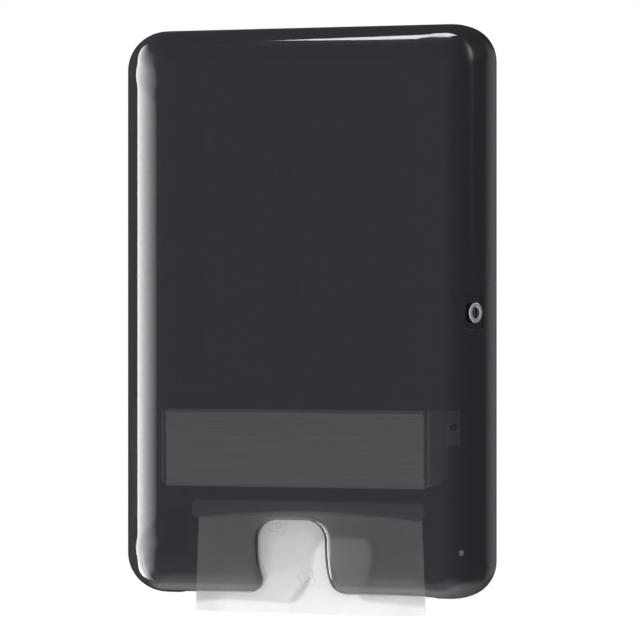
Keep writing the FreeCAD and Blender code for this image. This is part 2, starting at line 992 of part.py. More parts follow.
leaf_screws = []
for place_z in (-hinge_z, hinge_z):
    for side in (-1, 1):
        leaf_screws.append(
            pan_screw(
                leaf_x + leaf_thickness,
                leaf_middle,
                place_z + side * leaf_height * 0.28,
                (-1, 0, 0),
                leaf_thickness + 3.0,
            )
        )
save("leaf_screws", Part.makeCompound(leaf_screws))

# Lock barrel with its bezel
bezel = Part.makeCylinder(bezel_radius, bezel_height)
bezel_top = max(
    [edge for edge in bezel.Edges if len(edge.Vertexes) == 1],
    key=lambda edge: edge.CenterOfMass.z,
)
bezel = bezel.makeFillet(0.7, [bezel_top])
stub = Part.makeCylinder(
    barrel_radius, barrel_length + 0.5, FreeCAD.Vector(0, 0, -barrel_length)
)
barrel_bore = Part.makeCylinder(
    plug_radius + running_clearance,
    barrel_length + bezel_height + 10,
    FreeCAD.Vector(0, 0, -barrel_length - 5),
)
barrel = in_lock_frame(fuse([bezel, stub]).cut(barrel_bore))
save("lock_barrel", barrel)

washer_back = -shell_wall - washer_thickness
washer = lock_rod(washer_radius, washer_back, -shell_wall)
washer = washer.cut(lock_rod(barrel_radius + 0.3, -20.0, 5.0))
save("lock_washer", washer)

nut_corners = []
nut_reach = nut_flats / 2 / math.cos(math.radians(30))
for step in range(7):
    angle = math.radians(60 * step)
    nut_corners.append(
        FreeCAD.Vector(
            nut_reach * math.cos(angle), nut_reach * math.sin(angle), washer_back
        )
    )
nut = Part.Face(Part.makePolygon(nut_corners))
nut = in_lock_frame(nut.extrude(FreeCAD.Vector(0, 0, -nut_thickness)))
nut = nut.cut(lock_rod(barrel_radius + thread_clearance, -30.0, 5.0))
save("lock_nut", nut)

# Lock plug, cam and cam screw
plug_top = bezel_height - plug_recess
cam_top = -barrel_length - cam_gap
cam_back = cam_top - cam_thickness
plug = lock_rod(plug_radius, -barrel_length, plug_top)
tail_half = tail_size / 2
tail = lock_block(-tail_half, tail_half, -tail_half, tail_half, cam_back, 0.5 - barrel_length)
plug = fuse([plug, tail])
plug = plug.cut(
    lock_block(
        -keyway_width / 2,
        keyway_width / 2,
        -keyway_height / 2,
        keyway_height / 2,
        plug_top - keyway_depth,
        plug_top + 5,
    )
)
screw_hole = lock_rod(screw_radius + thread_clearance, cam_back - 1.0, cam_back + 5.0)
plug = plug.cut(screw_hole)
save("lock_plug", plug)

cam_tip = cam_length - cam_width / 2
cam = fuse(
    [
        lock_rod(cam_hub_radius, cam_back, cam_top),
        lock_block(-cam_width / 2, cam_width / 2, 0, cam_tip, cam_back, cam_top),
        in_lock_frame(
            Part.makeCylinder(
                cam_width / 2, cam_thickness, FreeCAD.Vector(0, cam_tip, cam_back)
            )
        ),
    ]
)
hole_half = tail_half + 0.1
cam = cam.cut(
    lock_block(-hole_half, hole_half, -hole_half, hole_half, cam_back - 1, cam_top + 1)
)
save("lock_cam", cam)

cam_head = Part.makeCylinder(
    tail_size * 0.75, 2.2, FreeCAD.Vector(0, 0, cam_back - 2.2)
)
cam_shank = Part.makeCylinder(screw_radius, 4.7, FreeCAD.Vector(0, 0, cam_back - 0.2))
cam_slot = Part.makeBox(20, 1.0, 1.0, FreeCAD.Vector(-10, -0.5, cam_back - 2.2))
save("cam_screw", in_lock_frame(fuse([cam_head, cam_shank]).cut(cam_slot)))

# Strike on the housing, behind which the cam turns
keeper_back = cam_top + keeper_gap
leg_local = (keeper_end - 1.0, keeper_back + keeper_thickness / 2)
leg_x = lock_x + leg_local[0] * lock_cos + leg_local[1] * lock_sin
leg_top = lock_depth - leg_local[0] * lock_sin + leg_local[1] * lock_cos
strike_low = lock_z - keeper_height / 2
strike_high = lock_z + keeper_height / 2
strike = fuse(
    [
        lock_block(
            keeper_start,
            keeper_end,
            -keeper_height / 2,
            keeper_height / 2,
            keeper_back,
            keeper_back + keeper_thickness,
        ),
        box(
            leg_x - keeper_thickness / 2,
            leg_x + keeper_thickness / 2,
            plate_thickness,
            leg_top,
            strike_low,
            strike_high,
        ),
        box(
            keeper_foot_x0,
            leg_x,
            plate_thickness,
            plate_thickness + keeper_thickness,
            strike_low,
            strike_high,
        ),
    ]
)
for side in (-1, 1):
    hole = rod(
        strike_screw_x,
        0,
        lock_z + side * keeper_height * 0.26,
        (0, 1, 0),
        screw_radius + screw_clearance,
        20.0,
    )
    strike = strike.cut(hole)
save("strike_plate", strike)
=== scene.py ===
"""Looks of a wall dispenser for folded hand towels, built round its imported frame, in metres."""

from __future__ import annotations

import json
import logging
import math
from collections.abc import Callable, Sequence
from dataclasses import dataclass, field
from enum import Enum
from typing import Any, Union

import bmesh
import bpy
import numpy as np
from mathutils import Euler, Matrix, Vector, noise
from mathutils.geometry import delaunay_2d_cdt

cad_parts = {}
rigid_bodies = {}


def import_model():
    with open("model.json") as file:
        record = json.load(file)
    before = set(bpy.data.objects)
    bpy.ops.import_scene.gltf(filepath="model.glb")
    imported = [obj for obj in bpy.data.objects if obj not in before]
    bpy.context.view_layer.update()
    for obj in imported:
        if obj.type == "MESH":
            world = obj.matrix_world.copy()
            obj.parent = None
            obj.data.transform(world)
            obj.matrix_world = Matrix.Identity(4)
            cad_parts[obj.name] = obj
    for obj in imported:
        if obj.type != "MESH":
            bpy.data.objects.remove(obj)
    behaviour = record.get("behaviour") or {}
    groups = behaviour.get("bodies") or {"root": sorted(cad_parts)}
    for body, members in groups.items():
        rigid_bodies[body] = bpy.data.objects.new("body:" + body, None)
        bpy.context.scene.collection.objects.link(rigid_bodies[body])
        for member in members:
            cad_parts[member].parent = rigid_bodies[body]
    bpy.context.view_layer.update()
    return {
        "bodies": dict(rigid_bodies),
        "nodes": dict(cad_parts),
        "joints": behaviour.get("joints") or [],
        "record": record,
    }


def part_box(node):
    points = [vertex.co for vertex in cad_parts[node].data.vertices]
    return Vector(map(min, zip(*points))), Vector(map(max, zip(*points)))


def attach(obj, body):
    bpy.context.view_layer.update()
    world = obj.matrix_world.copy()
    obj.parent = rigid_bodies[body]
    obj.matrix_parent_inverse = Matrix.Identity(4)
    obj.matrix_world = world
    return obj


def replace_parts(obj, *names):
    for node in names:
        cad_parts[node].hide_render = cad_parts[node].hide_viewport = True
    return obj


log = logging.getLogger("dispenser")

Node = bpy.types.Node
Socket = bpy.types.NodeSocket
Tree = bpy.types.NodeTree
Material = bpy.types.Material
Mesh = bpy.types.Mesh
Piece = bpy.types.Object
Build = bmesh.types.BMesh

Value = Union[Socket, float]
Pair = tuple[float, float]
Triple = tuple[float, float, float]
Spot = tuple[np.ndarray, np.ndarray]
MM = 0.001
DEGREES = 180 / math.pi


class Side(Enum):
    """The four straight sides of the cover."""

    RIGHT = "right"
    LEFT = "left"
    TOP = "top"
    BOTTOM = "bottom"


# Node trees --------------------


class Graph:
    """Adds nodes to a tree and joins them in one call."""

    def __init__(self, tree: Tree) -> None:
        """Start on an empty tree."""
        self.tree = tree
        self.tree.nodes.clear()

    def add(self, kind: str, values: dict | None = None, **settings: Any) -> Node:
        """Add a node.

        Args:
            kind: The node's class name.
            values: Numbers for its input sockets, or sockets to join to them.
            settings: Properties of the node.

        Returns:
            The node.
        """
        node = self.tree.nodes.new(kind)
        for name, value in settings.items():
            setattr(node, name, value)
        for key, value in (values or {}).items():
            if isinstance(value, Socket):
                self.tree.links.new(value, node.inputs[key])
            else:
                node.inputs[key].default_value = value
        return node

    def math(self, operation: str, *terms: Value, clamp: bool = False) -> Socket:
        """Add a Math node and return its result."""
        values = dict(enumerate(terms))
        node = self.add("ShaderNodeMath", values, operation=operation, use_clamp=clamp)
        return node.outputs[0]

    def times(self, first: Value, second: Value, clamp: bool = False) -> Socket:
        """Return the product of two values."""
        return self.math("MULTIPLY", first, second, clamp=clamp)

    def plus(self, first: Value, second: Value, clamp: bool = False) -> Socket:
        """Return the sum of two values."""
        return self.math("ADD", first, second, clamp=clamp)

    def minus(self, first: Value, second: Value) -> Socket:
        """Return the first value less the second."""
        return self.math("SUBTRACT", first, second)

    def scaled(self, value: Value, factor: Value, shift: Value) -> Socket:
        """Return a value times a factor, plus a shift."""
        return self.math("MULTIPLY_ADD", value, factor, shift)

    def step(self, value: Value, low: float, high: float) -> Socket:
        """Return a smooth step of a value from 0 at low to 1 at high."""
        values = {"Value": value, "From Min": low, "From Max": high}
        node = self.add("ShaderNodeMapRange", values, interpolation_type="SMOOTHSTEP")
        return node.outputs["Result"]

    def place(self) -> Socket:
        """Return the place on the piece."""
        return self.add("ShaderNodeTexCoord").outputs["Object"]

    def clouds(self, place: Socket, scale: float, detail: float, bend: float = 0.0) -> Socket:
        """Return a noise of a scale at a place."""
        values = {"Vector": place, "Scale": scale, "Detail": detail, "Distortion": bend}
        return self.add("ShaderNodeTexNoise", values).outputs[0]


class EffectGraph(Graph):
    """The graph of a shader group with plain number sockets."""

    def __init__(self, name: str, **inputs: float) -> None:
        """Start a group with a default for each named input."""
        super().__init__(bpy.data.node_groups.new(name, "ShaderNodeTree"))
        for key, default in inputs.items():
            self._socket(key, "INPUT").default_value = default
        self.source = self.add("NodeGroupInput").outputs

    def _socket(self, key: str, side: str) -> bpy.types.NodeTreeInterfaceSocket:
        """Add a number socket to the group."""
        return self.tree.interface.new_socket(key, in_out=side, socket_type="NodeSocketFloat")

    def end(self, **outputs: Socket) -> Tree:
        """Give the group its named outputs and return it."""
        for key in outputs:
            self._socket(key, "OUTPUT")
        self.add("NodeGroupOutput", outputs)
        return self.tree


class Effects:
    """Shader groups that several finishes share."""

    def __init__(self) -> None:
        """Build the groups."""
        self.grain = self._grain()
        self.handling = self._handling()
        self.brushing = self._brushing()
        self.fibre = self._fibre()

    @staticmethod
    def _grain() -> Tree:
        """Moulded texture: fine cells on a slow unevenness."""
        graph = EffectGraph("moulded_grain", Scale=900.0)
        place = graph.place()
        values = {"Vector": place, "Scale": graph.source["Scale"]}
        cells = graph.add("ShaderNodeTexVoronoi", values, feature="SMOOTH_F1")
        tone = graph.scaled(graph.clouds(place, 14.0, 3.0), 0.24, 0.88)
        return graph.end(Height=cells.outputs["Distance"], Tone=tone)

    @staticmethod
    def _handling() -> Tree:
        """Signs of use on gloss: hairline scratches and faint wiped patches."""
        graph = EffectGraph("handling_marks", Scratches=1.0)
        place = graph.place()
        lines = []
        for turn, stretch in ((0.4, (6.0, 1.0, 900.0)), (-0.9, (1100.0, 1.0, 9.0))):
            values = {"Vector": place, "Rotation": (0.0, turn, 0.0), "Scale": stretch}
            turned = graph.add("ShaderNodeMapping", values).outputs[0]
            lines.append(graph.step(graph.clouds(turned, 1.0, 1.0), 0.7, 0.76))
        height = graph.times(graph.math("MAXIMUM", *lines), graph.source["Scratches"])
        patch = graph.clouds(place, 16.0, 4.0, 0.8)
        return graph.end(Height=height, Haze=graph.step(patch, 0.42, 0.74))

    @staticmethod
    def _brushing() -> Tree:
        """Rolled or turned metal: fine lines along the piece, and spangle."""
        graph = EffectGraph("metal_lines", Scale=2500.0)
        place = graph.place()
        scale = graph.source["Scale"]
        x, y, z = graph.add("ShaderNodeSeparateXYZ", {0: place}).outputs
        values = {0: graph.times(x, scale), 1: graph.times(y, scale), 2: graph.times(z, 60.0)}
        drawn = graph.add("ShaderNodeCombineXYZ", values).outputs[0]
        spangle = graph.add("ShaderNodeTexVoronoi", {"Vector": place, "Scale": 260.0})
        tint = graph.add("ShaderNodeSeparateColor", {0: spangle.outputs["Color"]})
        tone = graph.scaled(tint.outputs[0], 0.16, 0.88)
        return graph.end(Height=graph.clouds(drawn, 1.0, 2.0), Tone=tone)

    @staticmethod
    def _fibre() -> Tree:
        """Soft tissue: crepe lines across and loose fibres."""
        graph = EffectGraph("paper_fibre", Scale=1.0)
        place = graph.place()
        values = {0: place, "Scale": graph.source["Scale"]}
        sized = graph.add("ShaderNodeVectorMath", values, operation="SCALE").outputs[0]
        values = {"Vector": sized, "Scale": (180.0, 180.0, 1500.0)}
        crepe = graph.clouds(graph.add("ShaderNodeMapping", values).outputs[0], 1.0, 3.0)
        fibres = graph.clouds(sized, 1400.0, 2.0, 1.5)
        tone = graph.scaled(graph.clouds(place, 70.0, 4.0), 0.08, 0.95)
        return graph.end(Height=graph.scaled(crepe, 0.6, fibres), Tone=tone)


# Finishes --------------------


@dataclass(frozen=True)
class Finish:
    """A finish with a plain colour and gloss, which the others refine."""

    name: str
    slot: str
    color: Triple
    roughness: float

    def start(self) -> tuple[Material, Graph, Node]:
        """Make the material with its Principled shader joined to the output."""
        material = bpy.data.materials.new(self.name)
        material.use_nodes = True
        graph = Graph(material.node_tree)
        values = {"Base Color": (*self.color, 1.0), "Roughness": self.roughness}
        shader = graph.add("ShaderNodeBsdfPrincipled", values)
        graph.add("ShaderNodeOutputMaterial", {"Surface": shader.outputs[0]})
        return material, graph, shader

    def toned(self, graph: Graph, shader: Node, tone: Socket) -> None:
        """Vary the colour by a tone that changes over the surface."""
        tones = graph.add("ShaderNodeCombineColor", {0: tone, 1: tone, 2: tone})
        values = {0: 1.0, 6: (*self.color, 1.0), 7: tones.outputs[0]}
        mixed = graph.add("ShaderNodeMix", values, data_type="RGBA", blend_type="MULTIPLY")
        graph.tree.links.new(mixed.outputs[2], shader.inputs["Base Color"])

    def bumped(self, graph: Graph, shader: Node, height: Socket, depth: float) -> None:
        """Give the surface a relief of a depth in metres."""
        bump = graph.add("ShaderNodeBump", {"Height": height, "Distance": depth})
        graph.tree.links.new(bump.outputs[0], shader.inputs["Normal"])

    def handled(self, graph: Graph, shader: Node, effects: Effects, haze: float) -> Socket:
        """Dull the gloss where the surface was wiped, and return its scratches' height.

        Args:
            graph: The graph that gets the nodes.
            shader: The Principled shader.
            effects: The shared shader groups.
            haze: How much duller a wiped patch is.

        Returns:
            The height of the scratches.
        """
        marks = graph.add("ShaderNodeGroup", node_tree=effects.handling).outputs
        gloss = graph.scaled(marks["Haze"], haze, self.roughness)
        graph.tree.links.new(gloss, shader.inputs["Roughness"])
        return marks["Height"]


@dataclass(frozen=True)
class SmokePlastic(Finish):
    """Dark clear plastic: its two skins together take most of the light."""

    opacity: float = 0.76
    edge_opacity: float = 0.99
    level: float = 0.66
    edge_bend: float = 1.5
    scratch_depth: float = 0.0000008

    def build(self, effects: Effects) -> Material:
        """Make the material."""
        material, graph, shader = self.start()
        shader.inputs["Specular IOR Level"].default_value = self.level
        facing = graph.add("ShaderNodeLayerWeight", {"Blend": 0.5}).outputs["Facing"]
        bent = graph.math("POWER", facing, self.edge_bend)
        opacity = graph.scaled(bent, self.edge_opacity - self.opacity, self.opacity)
        graph.tree.links.new(opacity, shader.inputs["Alpha"])
        scratches = self.handled(graph, shader, effects, 0.012)
        self.bumped(graph, shader, scratches, self.scratch_depth)
        return material


@dataclass(frozen=True)
class SolidPlastic(Finish):
    """Opaque moulded plastic with a grain."""

    grain_scale: float = 900.0
    grain_depth: float = 0.00004

    def build(self, effects: Effects) -> Material:
        """Make the material."""
        material, graph, shader = self.start()
        grain = graph.add(
            "ShaderNodeGroup", {"Scale": self.grain_scale}, node_tree=effects.grain
        ).outputs
        self.handled(graph, shader, effects, 0.08)
        self.toned(graph, shader, grain["Tone"])
        self.bumped(graph, shader, grain["Height"], self.grain_depth)
        return material


@dataclass(frozen=True)
class PlatedMetal(Finish):
    """Plated or polished metal with fine lines."""

    line_scale: float = 2500.0
    line_depth: float = 0.000004

    def build(self, effects: Effects) -> Material:
        """Make the material."""
        material, graph, shader = self.start()
        shader.inputs["Metallic"].default_value = 1.0
        lines = graph.add(
            "ShaderNodeGroup", {"Scale": self.line_scale}, node_tree=effects.brushing
        ).outputs
        self.handled(graph, shader, effects, 0.1)
        self.toned(graph, shader, lines["Tone"])
        self.bumped(graph, shader, lines["Height"], self.line_depth)
        return material


@dataclass(frozen=True)
class TowelPaper(Finish):
    """Soft white tissue, with or without a faint pressed pattern whose lines are darkened as
    painted shade of their grooves.
    """

    pressed: bool = False
    motif_pitch: Pair = (0.05, 0.088)
    motif_size: float = 0.0068
    # How much darker the pressed lines are: painted shade of their grooves, beside their relief.
    motif_groove_shade: float = -0.17
    motif_relief: float = -2.0
    fibre_depth: float = 0.00006

    def build(self, effects: Effects) -> Material:
        """Make the material."""
        material, graph, shader = self.start()
        shader.inputs["Specular IOR Level"].default_value = 0.15
        shader.inputs["Sheen Weight"].default_value = 0.25
        shader.inputs["Sheen Roughness"].default_value = 0.6
        fibre = graph.add("ShaderNodeGroup", node_tree=effects.fibre).outputs
        tone, height = fibre["Tone"], fibre["Height"]
        if self.pressed:
            lines = self._motifs(graph)
            # Darken the pressed lines as painted shade of their grooves.
            tone = graph.scaled(lines, self.motif_groove_shade, tone)
            height = graph.scaled(lines, self.motif_relief, height)
        self.toned(graph, shader, tone)
        self.bumped(graph, shader, height, self.fibre_depth)
        return material

    def _motifs(self, graph: Graph) -> Socket:
        """Return a mask of pressed lines: four-lobed flowers on a staggered grid."""
        uv = graph.add("ShaderNodeUVMap", uv_map="flat").outputs[0]
        parts = graph.add("ShaderNodeSeparateXYZ", {0: uv})
        whole = None
        for shift, lean in ((0.1, 0.5), (0.6, -0.4)):
            cells = []
            for index, pitch in enumerate(self.motif_pitch):
                scaled = graph.math("DIVIDE", parts.outputs[index], pitch)
                inside_cell = graph.math("FRACT", graph.plus(scaled, shift))
                cells.append(graph.scaled(inside_cell, pitch, -pitch / 2))
            vector = graph.add("ShaderNodeCombineXYZ", {0: cells[0], 1: cells[1]})
            radius = graph.add(
                "ShaderNodeVectorMath", {0: vector.outputs[0]}, operation="LENGTH"
            ).outputs["Value"]
            turn = graph.plus(graph.math("ARCTAN2", cells[1], cells[0]), lean)
            lobes = graph.math("COSINE", graph.times(turn, 4.0))
            for size, swell in ((self.motif_size, 0.22), (self.motif_size * 0.34, -0.3)):
                edge = graph.scaled(lobes, size * swell, size)
                off = graph.math("ABSOLUTE", graph.minus(radius, edge))
                line = graph.step(off, 0.00045, 0.00015)
                whole = line if whole is None else graph.math("MAXIMUM", whole, line)
        return whole


@dataclass
class Palette:
    """Every finish of the dispenser, made once."""

    effects: Effects
    made: dict[str, Material] = field(default_factory=dict)
    finishes: tuple[Finish, ...] = (
        SmokePlastic("smoke_outer", "smoke_cover", (0.0025, 0.0055, 0.0105), 0.03),
        SmokePlastic("smoke_inner", "smoke_cover", (0.004, 0.0045, 0.0055), 0.05, 0.05, 0.12, 0.3),
        SmokePlastic("smoke_lip", "smoke_cover", (0.0025, 0.0055, 0.0105), 0.03, 0.96, 0.99, 0.2),
        SmokePlastic("smoke_flange", "smoke_cover", (0.0025, 0.0055, 0.0105), 0.05, 0.1, 0.22, 0.1),
        SolidPlastic("mask_black", "black_mask", (0.006, 0.0065, 0.0075), 0.22, 1200.0, 0.0000018),
        SolidPlastic("housing_black", "black_housing", (0.02, 0.021, 0.0225), 0.42),
        # Side guides: grey plastic, made lighter than its own grey as painted light on its side
        # face.
        SolidPlastic("guide_grey", "grey_guide", (0.38, 0.4, 0.405), 0.38, 1100.0, 0.00002),
        # Throat lip: dark plastic given a grey colour as painted light, for its lit front face.
        SolidPlastic("lip_grey", "grey_lip", (0.24, 0.25, 0.25), 0.3, 1100.0, 0.00002),
        SolidPlastic("plug_pale", "pale_plug", (0.1, 0.1, 0.096), 0.35, 1400.0, 0.00001),
        SolidPlastic("tape_foam", "tape", (0.008, 0.008, 0.009), 0.85, 1600.0, 0.00008),
        PlatedMetal("zinc_plate", "zinc_steel", (0.62, 0.63, 0.64), 0.3, 2500.0, 0.000006),
        PlatedMetal("black_zinc", "black_zinc", (0.03, 0.031, 0.034), 0.36, 3200.0, 0.000004),
        PlatedMetal("screw_bright", "screw_steel", (0.66, 0.66, 0.67), 0.24, 5200.0, 0.000003),
        PlatedMetal("lock_chrome", "lock_chrome", (0.82, 0.83, 0.84), 0.06, 7000.0, 0.0000012),
        # The key plug's face: a dark metal, darker than the chrome bezel.
        PlatedMetal("lock_worn", "lock_chrome", (0.14, 0.142, 0.15), 0.24, 5200.0, 0.000003),
        # Both towel finishes are the same paper; the hanging towel's is set darker than the pile's,
        # as painted shade that tones down its brighter light.
        TowelPaper("towel_folded", "towel_paper", (0.89, 0.89, 0.88), 0.9),
        TowelPaper("towel_pressed", "towel_paper", (0.82, 0.82, 0.81), 0.9, True),
    )

    def __post_init__(self) -> None:
        """Build the materials."""
        for finish in self.finishes:
            self.made[finish.name] = finish.build(self.effects)

    def dress(self, piece: Piece, *names: str) -> None:
        """Put finishes on a new piece."""
        for name in names:
            piece.data.materials.append(self.made[name])

    def hand_over(self, piece: Piece, body: str, node: str, *names: str) -> None:
        """Dress a new piece, tie it to its body and let it stand for a piece of the frame.

        Args:
            piece: The piece.
            body: The body it moves with.
            node: The piece of the frame.
            names: The finishes.
        """
        self.dress(piece, *names)
        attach(piece, body)
        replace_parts(piece, node)
        log.info("%s: %d faces", piece.name, len(piece.data.polygons))

    def repaint(self, node: Piece, name: str) -> None:
        """Put a finish on a piece of the frame."""
        for slot in node.material_slots:
            slot.material = self.made[name]
        if not node.material_slots:
            node.data.materials.append(self.made[name])


# Mesh helpers --------------------


def spot(x: float, depth: float, z: float) -> np.ndarray:
    """A place from its distance to the right, from the wall and up."""
    return np.array((x, depth, z), dtype=float)


def unit(vector: np.ndarray) -> np.ndarray:
    """The vector at length 1."""
    return vector / np.linalg.norm(vector)


def slerp(first: np.ndarray, last: np.ndarray, share: float) -> np.ndarray:
    """A direction part of the way round from one direction to another."""
    swing = math.acos(max(-1.0, min(1.0, float(first @ last))))
    near = math.sin((1 - share) * swing) * first
    return (near + math.sin(share * swing) * last) / math.sin(swing)


def to_scene(place: np.ndarray) -> Triple:
    """A place or direction in the scene's axes."""
    return (float(place[0]), -float(place[1]), float(place[2]))


def new_piece(name: str, mesh: Mesh) -> Piece:
    """Make an object of a mesh and put it in the scene."""
    piece = bpy.data.objects.new(name, mesh)
    bpy.context.scene.collection.objects.link(piece)
    return piece


def opened(mesh: Mesh) -> Build:
    """A copy of a mesh that can be worked on."""
    build = bmesh.new()
    build.from_mesh(mesh)
    return build


def finished(build: Build, mesh: Mesh, outwards: bool = False) -> Mesh:
    """Put worked faces into a mesh, turned outwards if asked.

    Args:
        build: The worked faces, which are used up.
        mesh: The mesh.
        outwards: Whether the faces are turned.

    Returns:
        The mesh.
    """
    if outwards:
        bmesh.ops.recalc_face_normals(build, faces=build.faces)
    build.to_mesh(mesh)
    build.free()
    return mesh


def add_block(
    build: Build, middle: Sequence[float], size: Sequence[float]
) -> list[bmesh.types.BMVert]:
    """Add a block to a mesh in work and return its corners.

    Args:
        build: The mesh in work.
        middle: The block's middle.
        size: Its three sizes.

    Returns:
        The corners.
    """
    corners = bmesh.ops.create_cube(build, size=1.0)["verts"]
    for corner in corners:
        corner.co = Vector([middle[i] + corner.co[i] * size[i] for i in range(3)])
    return corners


def evaluated(piece: Piece) -> Mesh:
    """The mesh of a piece with its modifiers applied, which then go."""
    view = bpy.context.evaluated_depsgraph_get()
    mesh = bpy.data.meshes.new_from_object(piece.evaluated_get(view), depsgraph=view)
    piece.modifiers.clear()
    return mesh


def cut_away(piece: Piece, build: Build, overlaps: bool = False) -> Mesh:
    """Cut a mesh in work out of a piece.

    Args:
        piece: The piece.
        build: The cutter, which is used up.
        overlaps: Whether the cutter's blocks run into each other.

    Returns:
        What is left of the piece's mesh.
    """
    cutter = new_piece("cutter", finished(build, bpy.data.meshes.new("cutter")))
    cut = piece.modifiers.new("cut", "BOOLEAN")
    cut.object = cutter
    cut.operation = "DIFFERENCE"
    cut.solver = "EXACT"
    cut.use_self = overlaps
    mesh = evaluated(piece)
    bpy.data.objects.remove(cutter)
    return mesh


class Sheet:
    """A smooth open skin with one normal at each point, given its wall at the end."""

    def __init__(self, wall: float) -> None:
        """Start an empty skin of a wall thickness."""
        self.wall = wall
        self.places: list[np.ndarray] = []
        self.normals: list[np.ndarray] = []
        self.backs: list[np.ndarray] = []
        self.mitred: set[int] = set()
        self.faces: list[tuple[int, ...]] = []
        self.slots: list[int] = []
        self.slot = 0
        self._known: dict[tuple[int, ...], int] = {}

    @staticmethod
    def _key(place: np.ndarray) -> tuple[int, ...]:
        """A key that is the same for places under a thousandth of a millimetre apart."""
        return tuple(int(round(value * 1e6 + 0.317)) for value in place)

    def point(self, where: Spot, back: np.ndarray | None = None) -> int:
        """Add a point or find it again.

        Args:
            where: Its place and its normal.
            back: Its place on the inner side, where that isn't straight behind it.

        Returns:
            The point's number.
        """
        place, normal = where
        key = self._key(place)
        if key not in self._known:
            self._known[key] = len(self.places)
            self.places.append(place)
            self.normals.append(normal)
            self.backs.append(place - self.wall * normal)
        number = self._known[key]
        if back is not None:
            self.backs[number] = back
            self.mitred.add(number)
        return number

    def face(self, corners: Sequence[int]) -> None:
        """Add a face that looks the way its normals do once depth is turned into -Y."""
        kept: list[int] = []
        for corner in corners:
            if corner not in kept:
                kept.append(corner)
        if len(kept) < 3:
            return
        first, second, last = (self.places[kept[i]] for i in (0, 1, -1))
        middle = self.places[kept[len(kept) // 2]]
        way = np.cross(middle - first, last - second)
        if np.linalg.norm(way) < 1e-16:
            way = np.cross(second - first, last - first)
        if way @ sum(self.normals[corner] for corner in kept) > 0:
            kept.reverse()
        self.faces.append(tuple(kept))
        self.slots.append(self.slot)

    def grid(self, rows: Sequence[Sequence[int]], keep: Callable | None = None) -> None:
        """Add the faces between rows of points, where keep allows their middle.

        Args:
            rows: The points' numbers, row by row.
            keep: Says for a face's middle whether the face is made.
        """
        for upper, lower in zip(rows, rows[1:]):
            for i in range(len(upper) - 1):
                corners = (upper[i], upper[i + 1], lower[i + 1], lower[i])
                middle = sum(self.places[corner] for corner in corners) / 4
                if keep is None or keep(middle):
                    self.face(corners)

    def solid(self, name: str) -> Piece:
        """Give the skin its wall and make it an object: outer faces first, then the rest."""
        back_keys: dict[tuple[int, ...], int] = {}
        back_of: list[int] = []
        places = list(self.places)
        for place in self.backs:
            key = self._key(place)
            if key not in back_keys:
                back_keys[key] = len(places)
                places.append(place)
            back_of.append(back_keys[key])
        faces = list(self.faces)
        normals = [[self.normals[corner] for corner in face] for face in faces]
        edges: dict[tuple[int, int], int] = {}
        for face in self.faces:
            for a, b in zip(face, face[1:] + face[:1]):
                edges[(a, b)] = edges.get((a, b), 0) + 1
        for face in self.faces:
            inner = []
            for corner in reversed(face):
                if back_of[corner] not in inner:
                    inner.append(back_of[corner])
            if len(inner) > 2:
                faces.append(tuple(inner))
                smooth = not any(corner in self.mitred for corner in face)
                normals.append([-self.normals[c] for c in reversed(face)] if smooth else [])
        for a, b in edges:
            if (b, a) not in edges:
                quad = [b, a, back_of[a], back_of[b]]
                if back_of[a] == back_of[b]:
                    quad.pop()
                faces.append(tuple(quad))
                normals.append([])
        return self._object(name, places, faces, normals)

    def _object(self, name: str, places: list, faces: list, normals: list) -> Piece:
        """Make the object with its shading normals.

        Args:
            name: The new piece's name.
            places: The corners.
            faces: The faces.
            normals: Each face's normals, or none for a flat face.

        Returns:
            The piece.
        """
        mesh = bpy.data.meshes.new(name)
        mesh.from_pydata([to_scene(place) for place in places], [], faces)
        loops: list[Triple] = []
        for polygon, corners in zip(mesh.polygons, normals):
            polygon.use_smooth = True
            outer = polygon.index < len(self.slots)
            polygon.material_index = self.slots[polygon.index] if outer else 1
            if corners:
                loops.extend(to_scene(normal) for normal in corners)
            else:
                loops.extend([tuple(polygon.normal)] * polygon.loop_total)
        mesh.normals_split_custom_set(loops)
        return new_piece(name, mesh)


def inside(place: Sequence[float], outline: np.ndarray) -> bool:
    """Whether a flat place lies inside a closed outline."""
    x, y = place
    x0, y0 = outline[:, 0], outline[:, 1]
    x1, y1 = np.roll(x0, -1), np.roll(y0, -1)
    spans = (y0 > y) != (y1 > y)
    rise = np.where(spans, y1 - y0, 1.0)
    return bool(np.count_nonzero(spans & (x < x0 + (y - y0) * (x1 - x0) / rise)) % 2)


def distance(place: Sequence[float], outline: np.ndarray) -> float:
    """How far a flat place lies from a closed outline."""
    first = outline
    along = np.roll(outline, -1, axis=0) - first
    offset = np.asarray(place) - first
    share = np.clip((offset * along).sum(1) / np.maximum((along**2).sum(1), 1e-18), 0, 1)
    return float(np.sqrt(((offset - share[:, None] * along) ** 2).sum(1)).min())


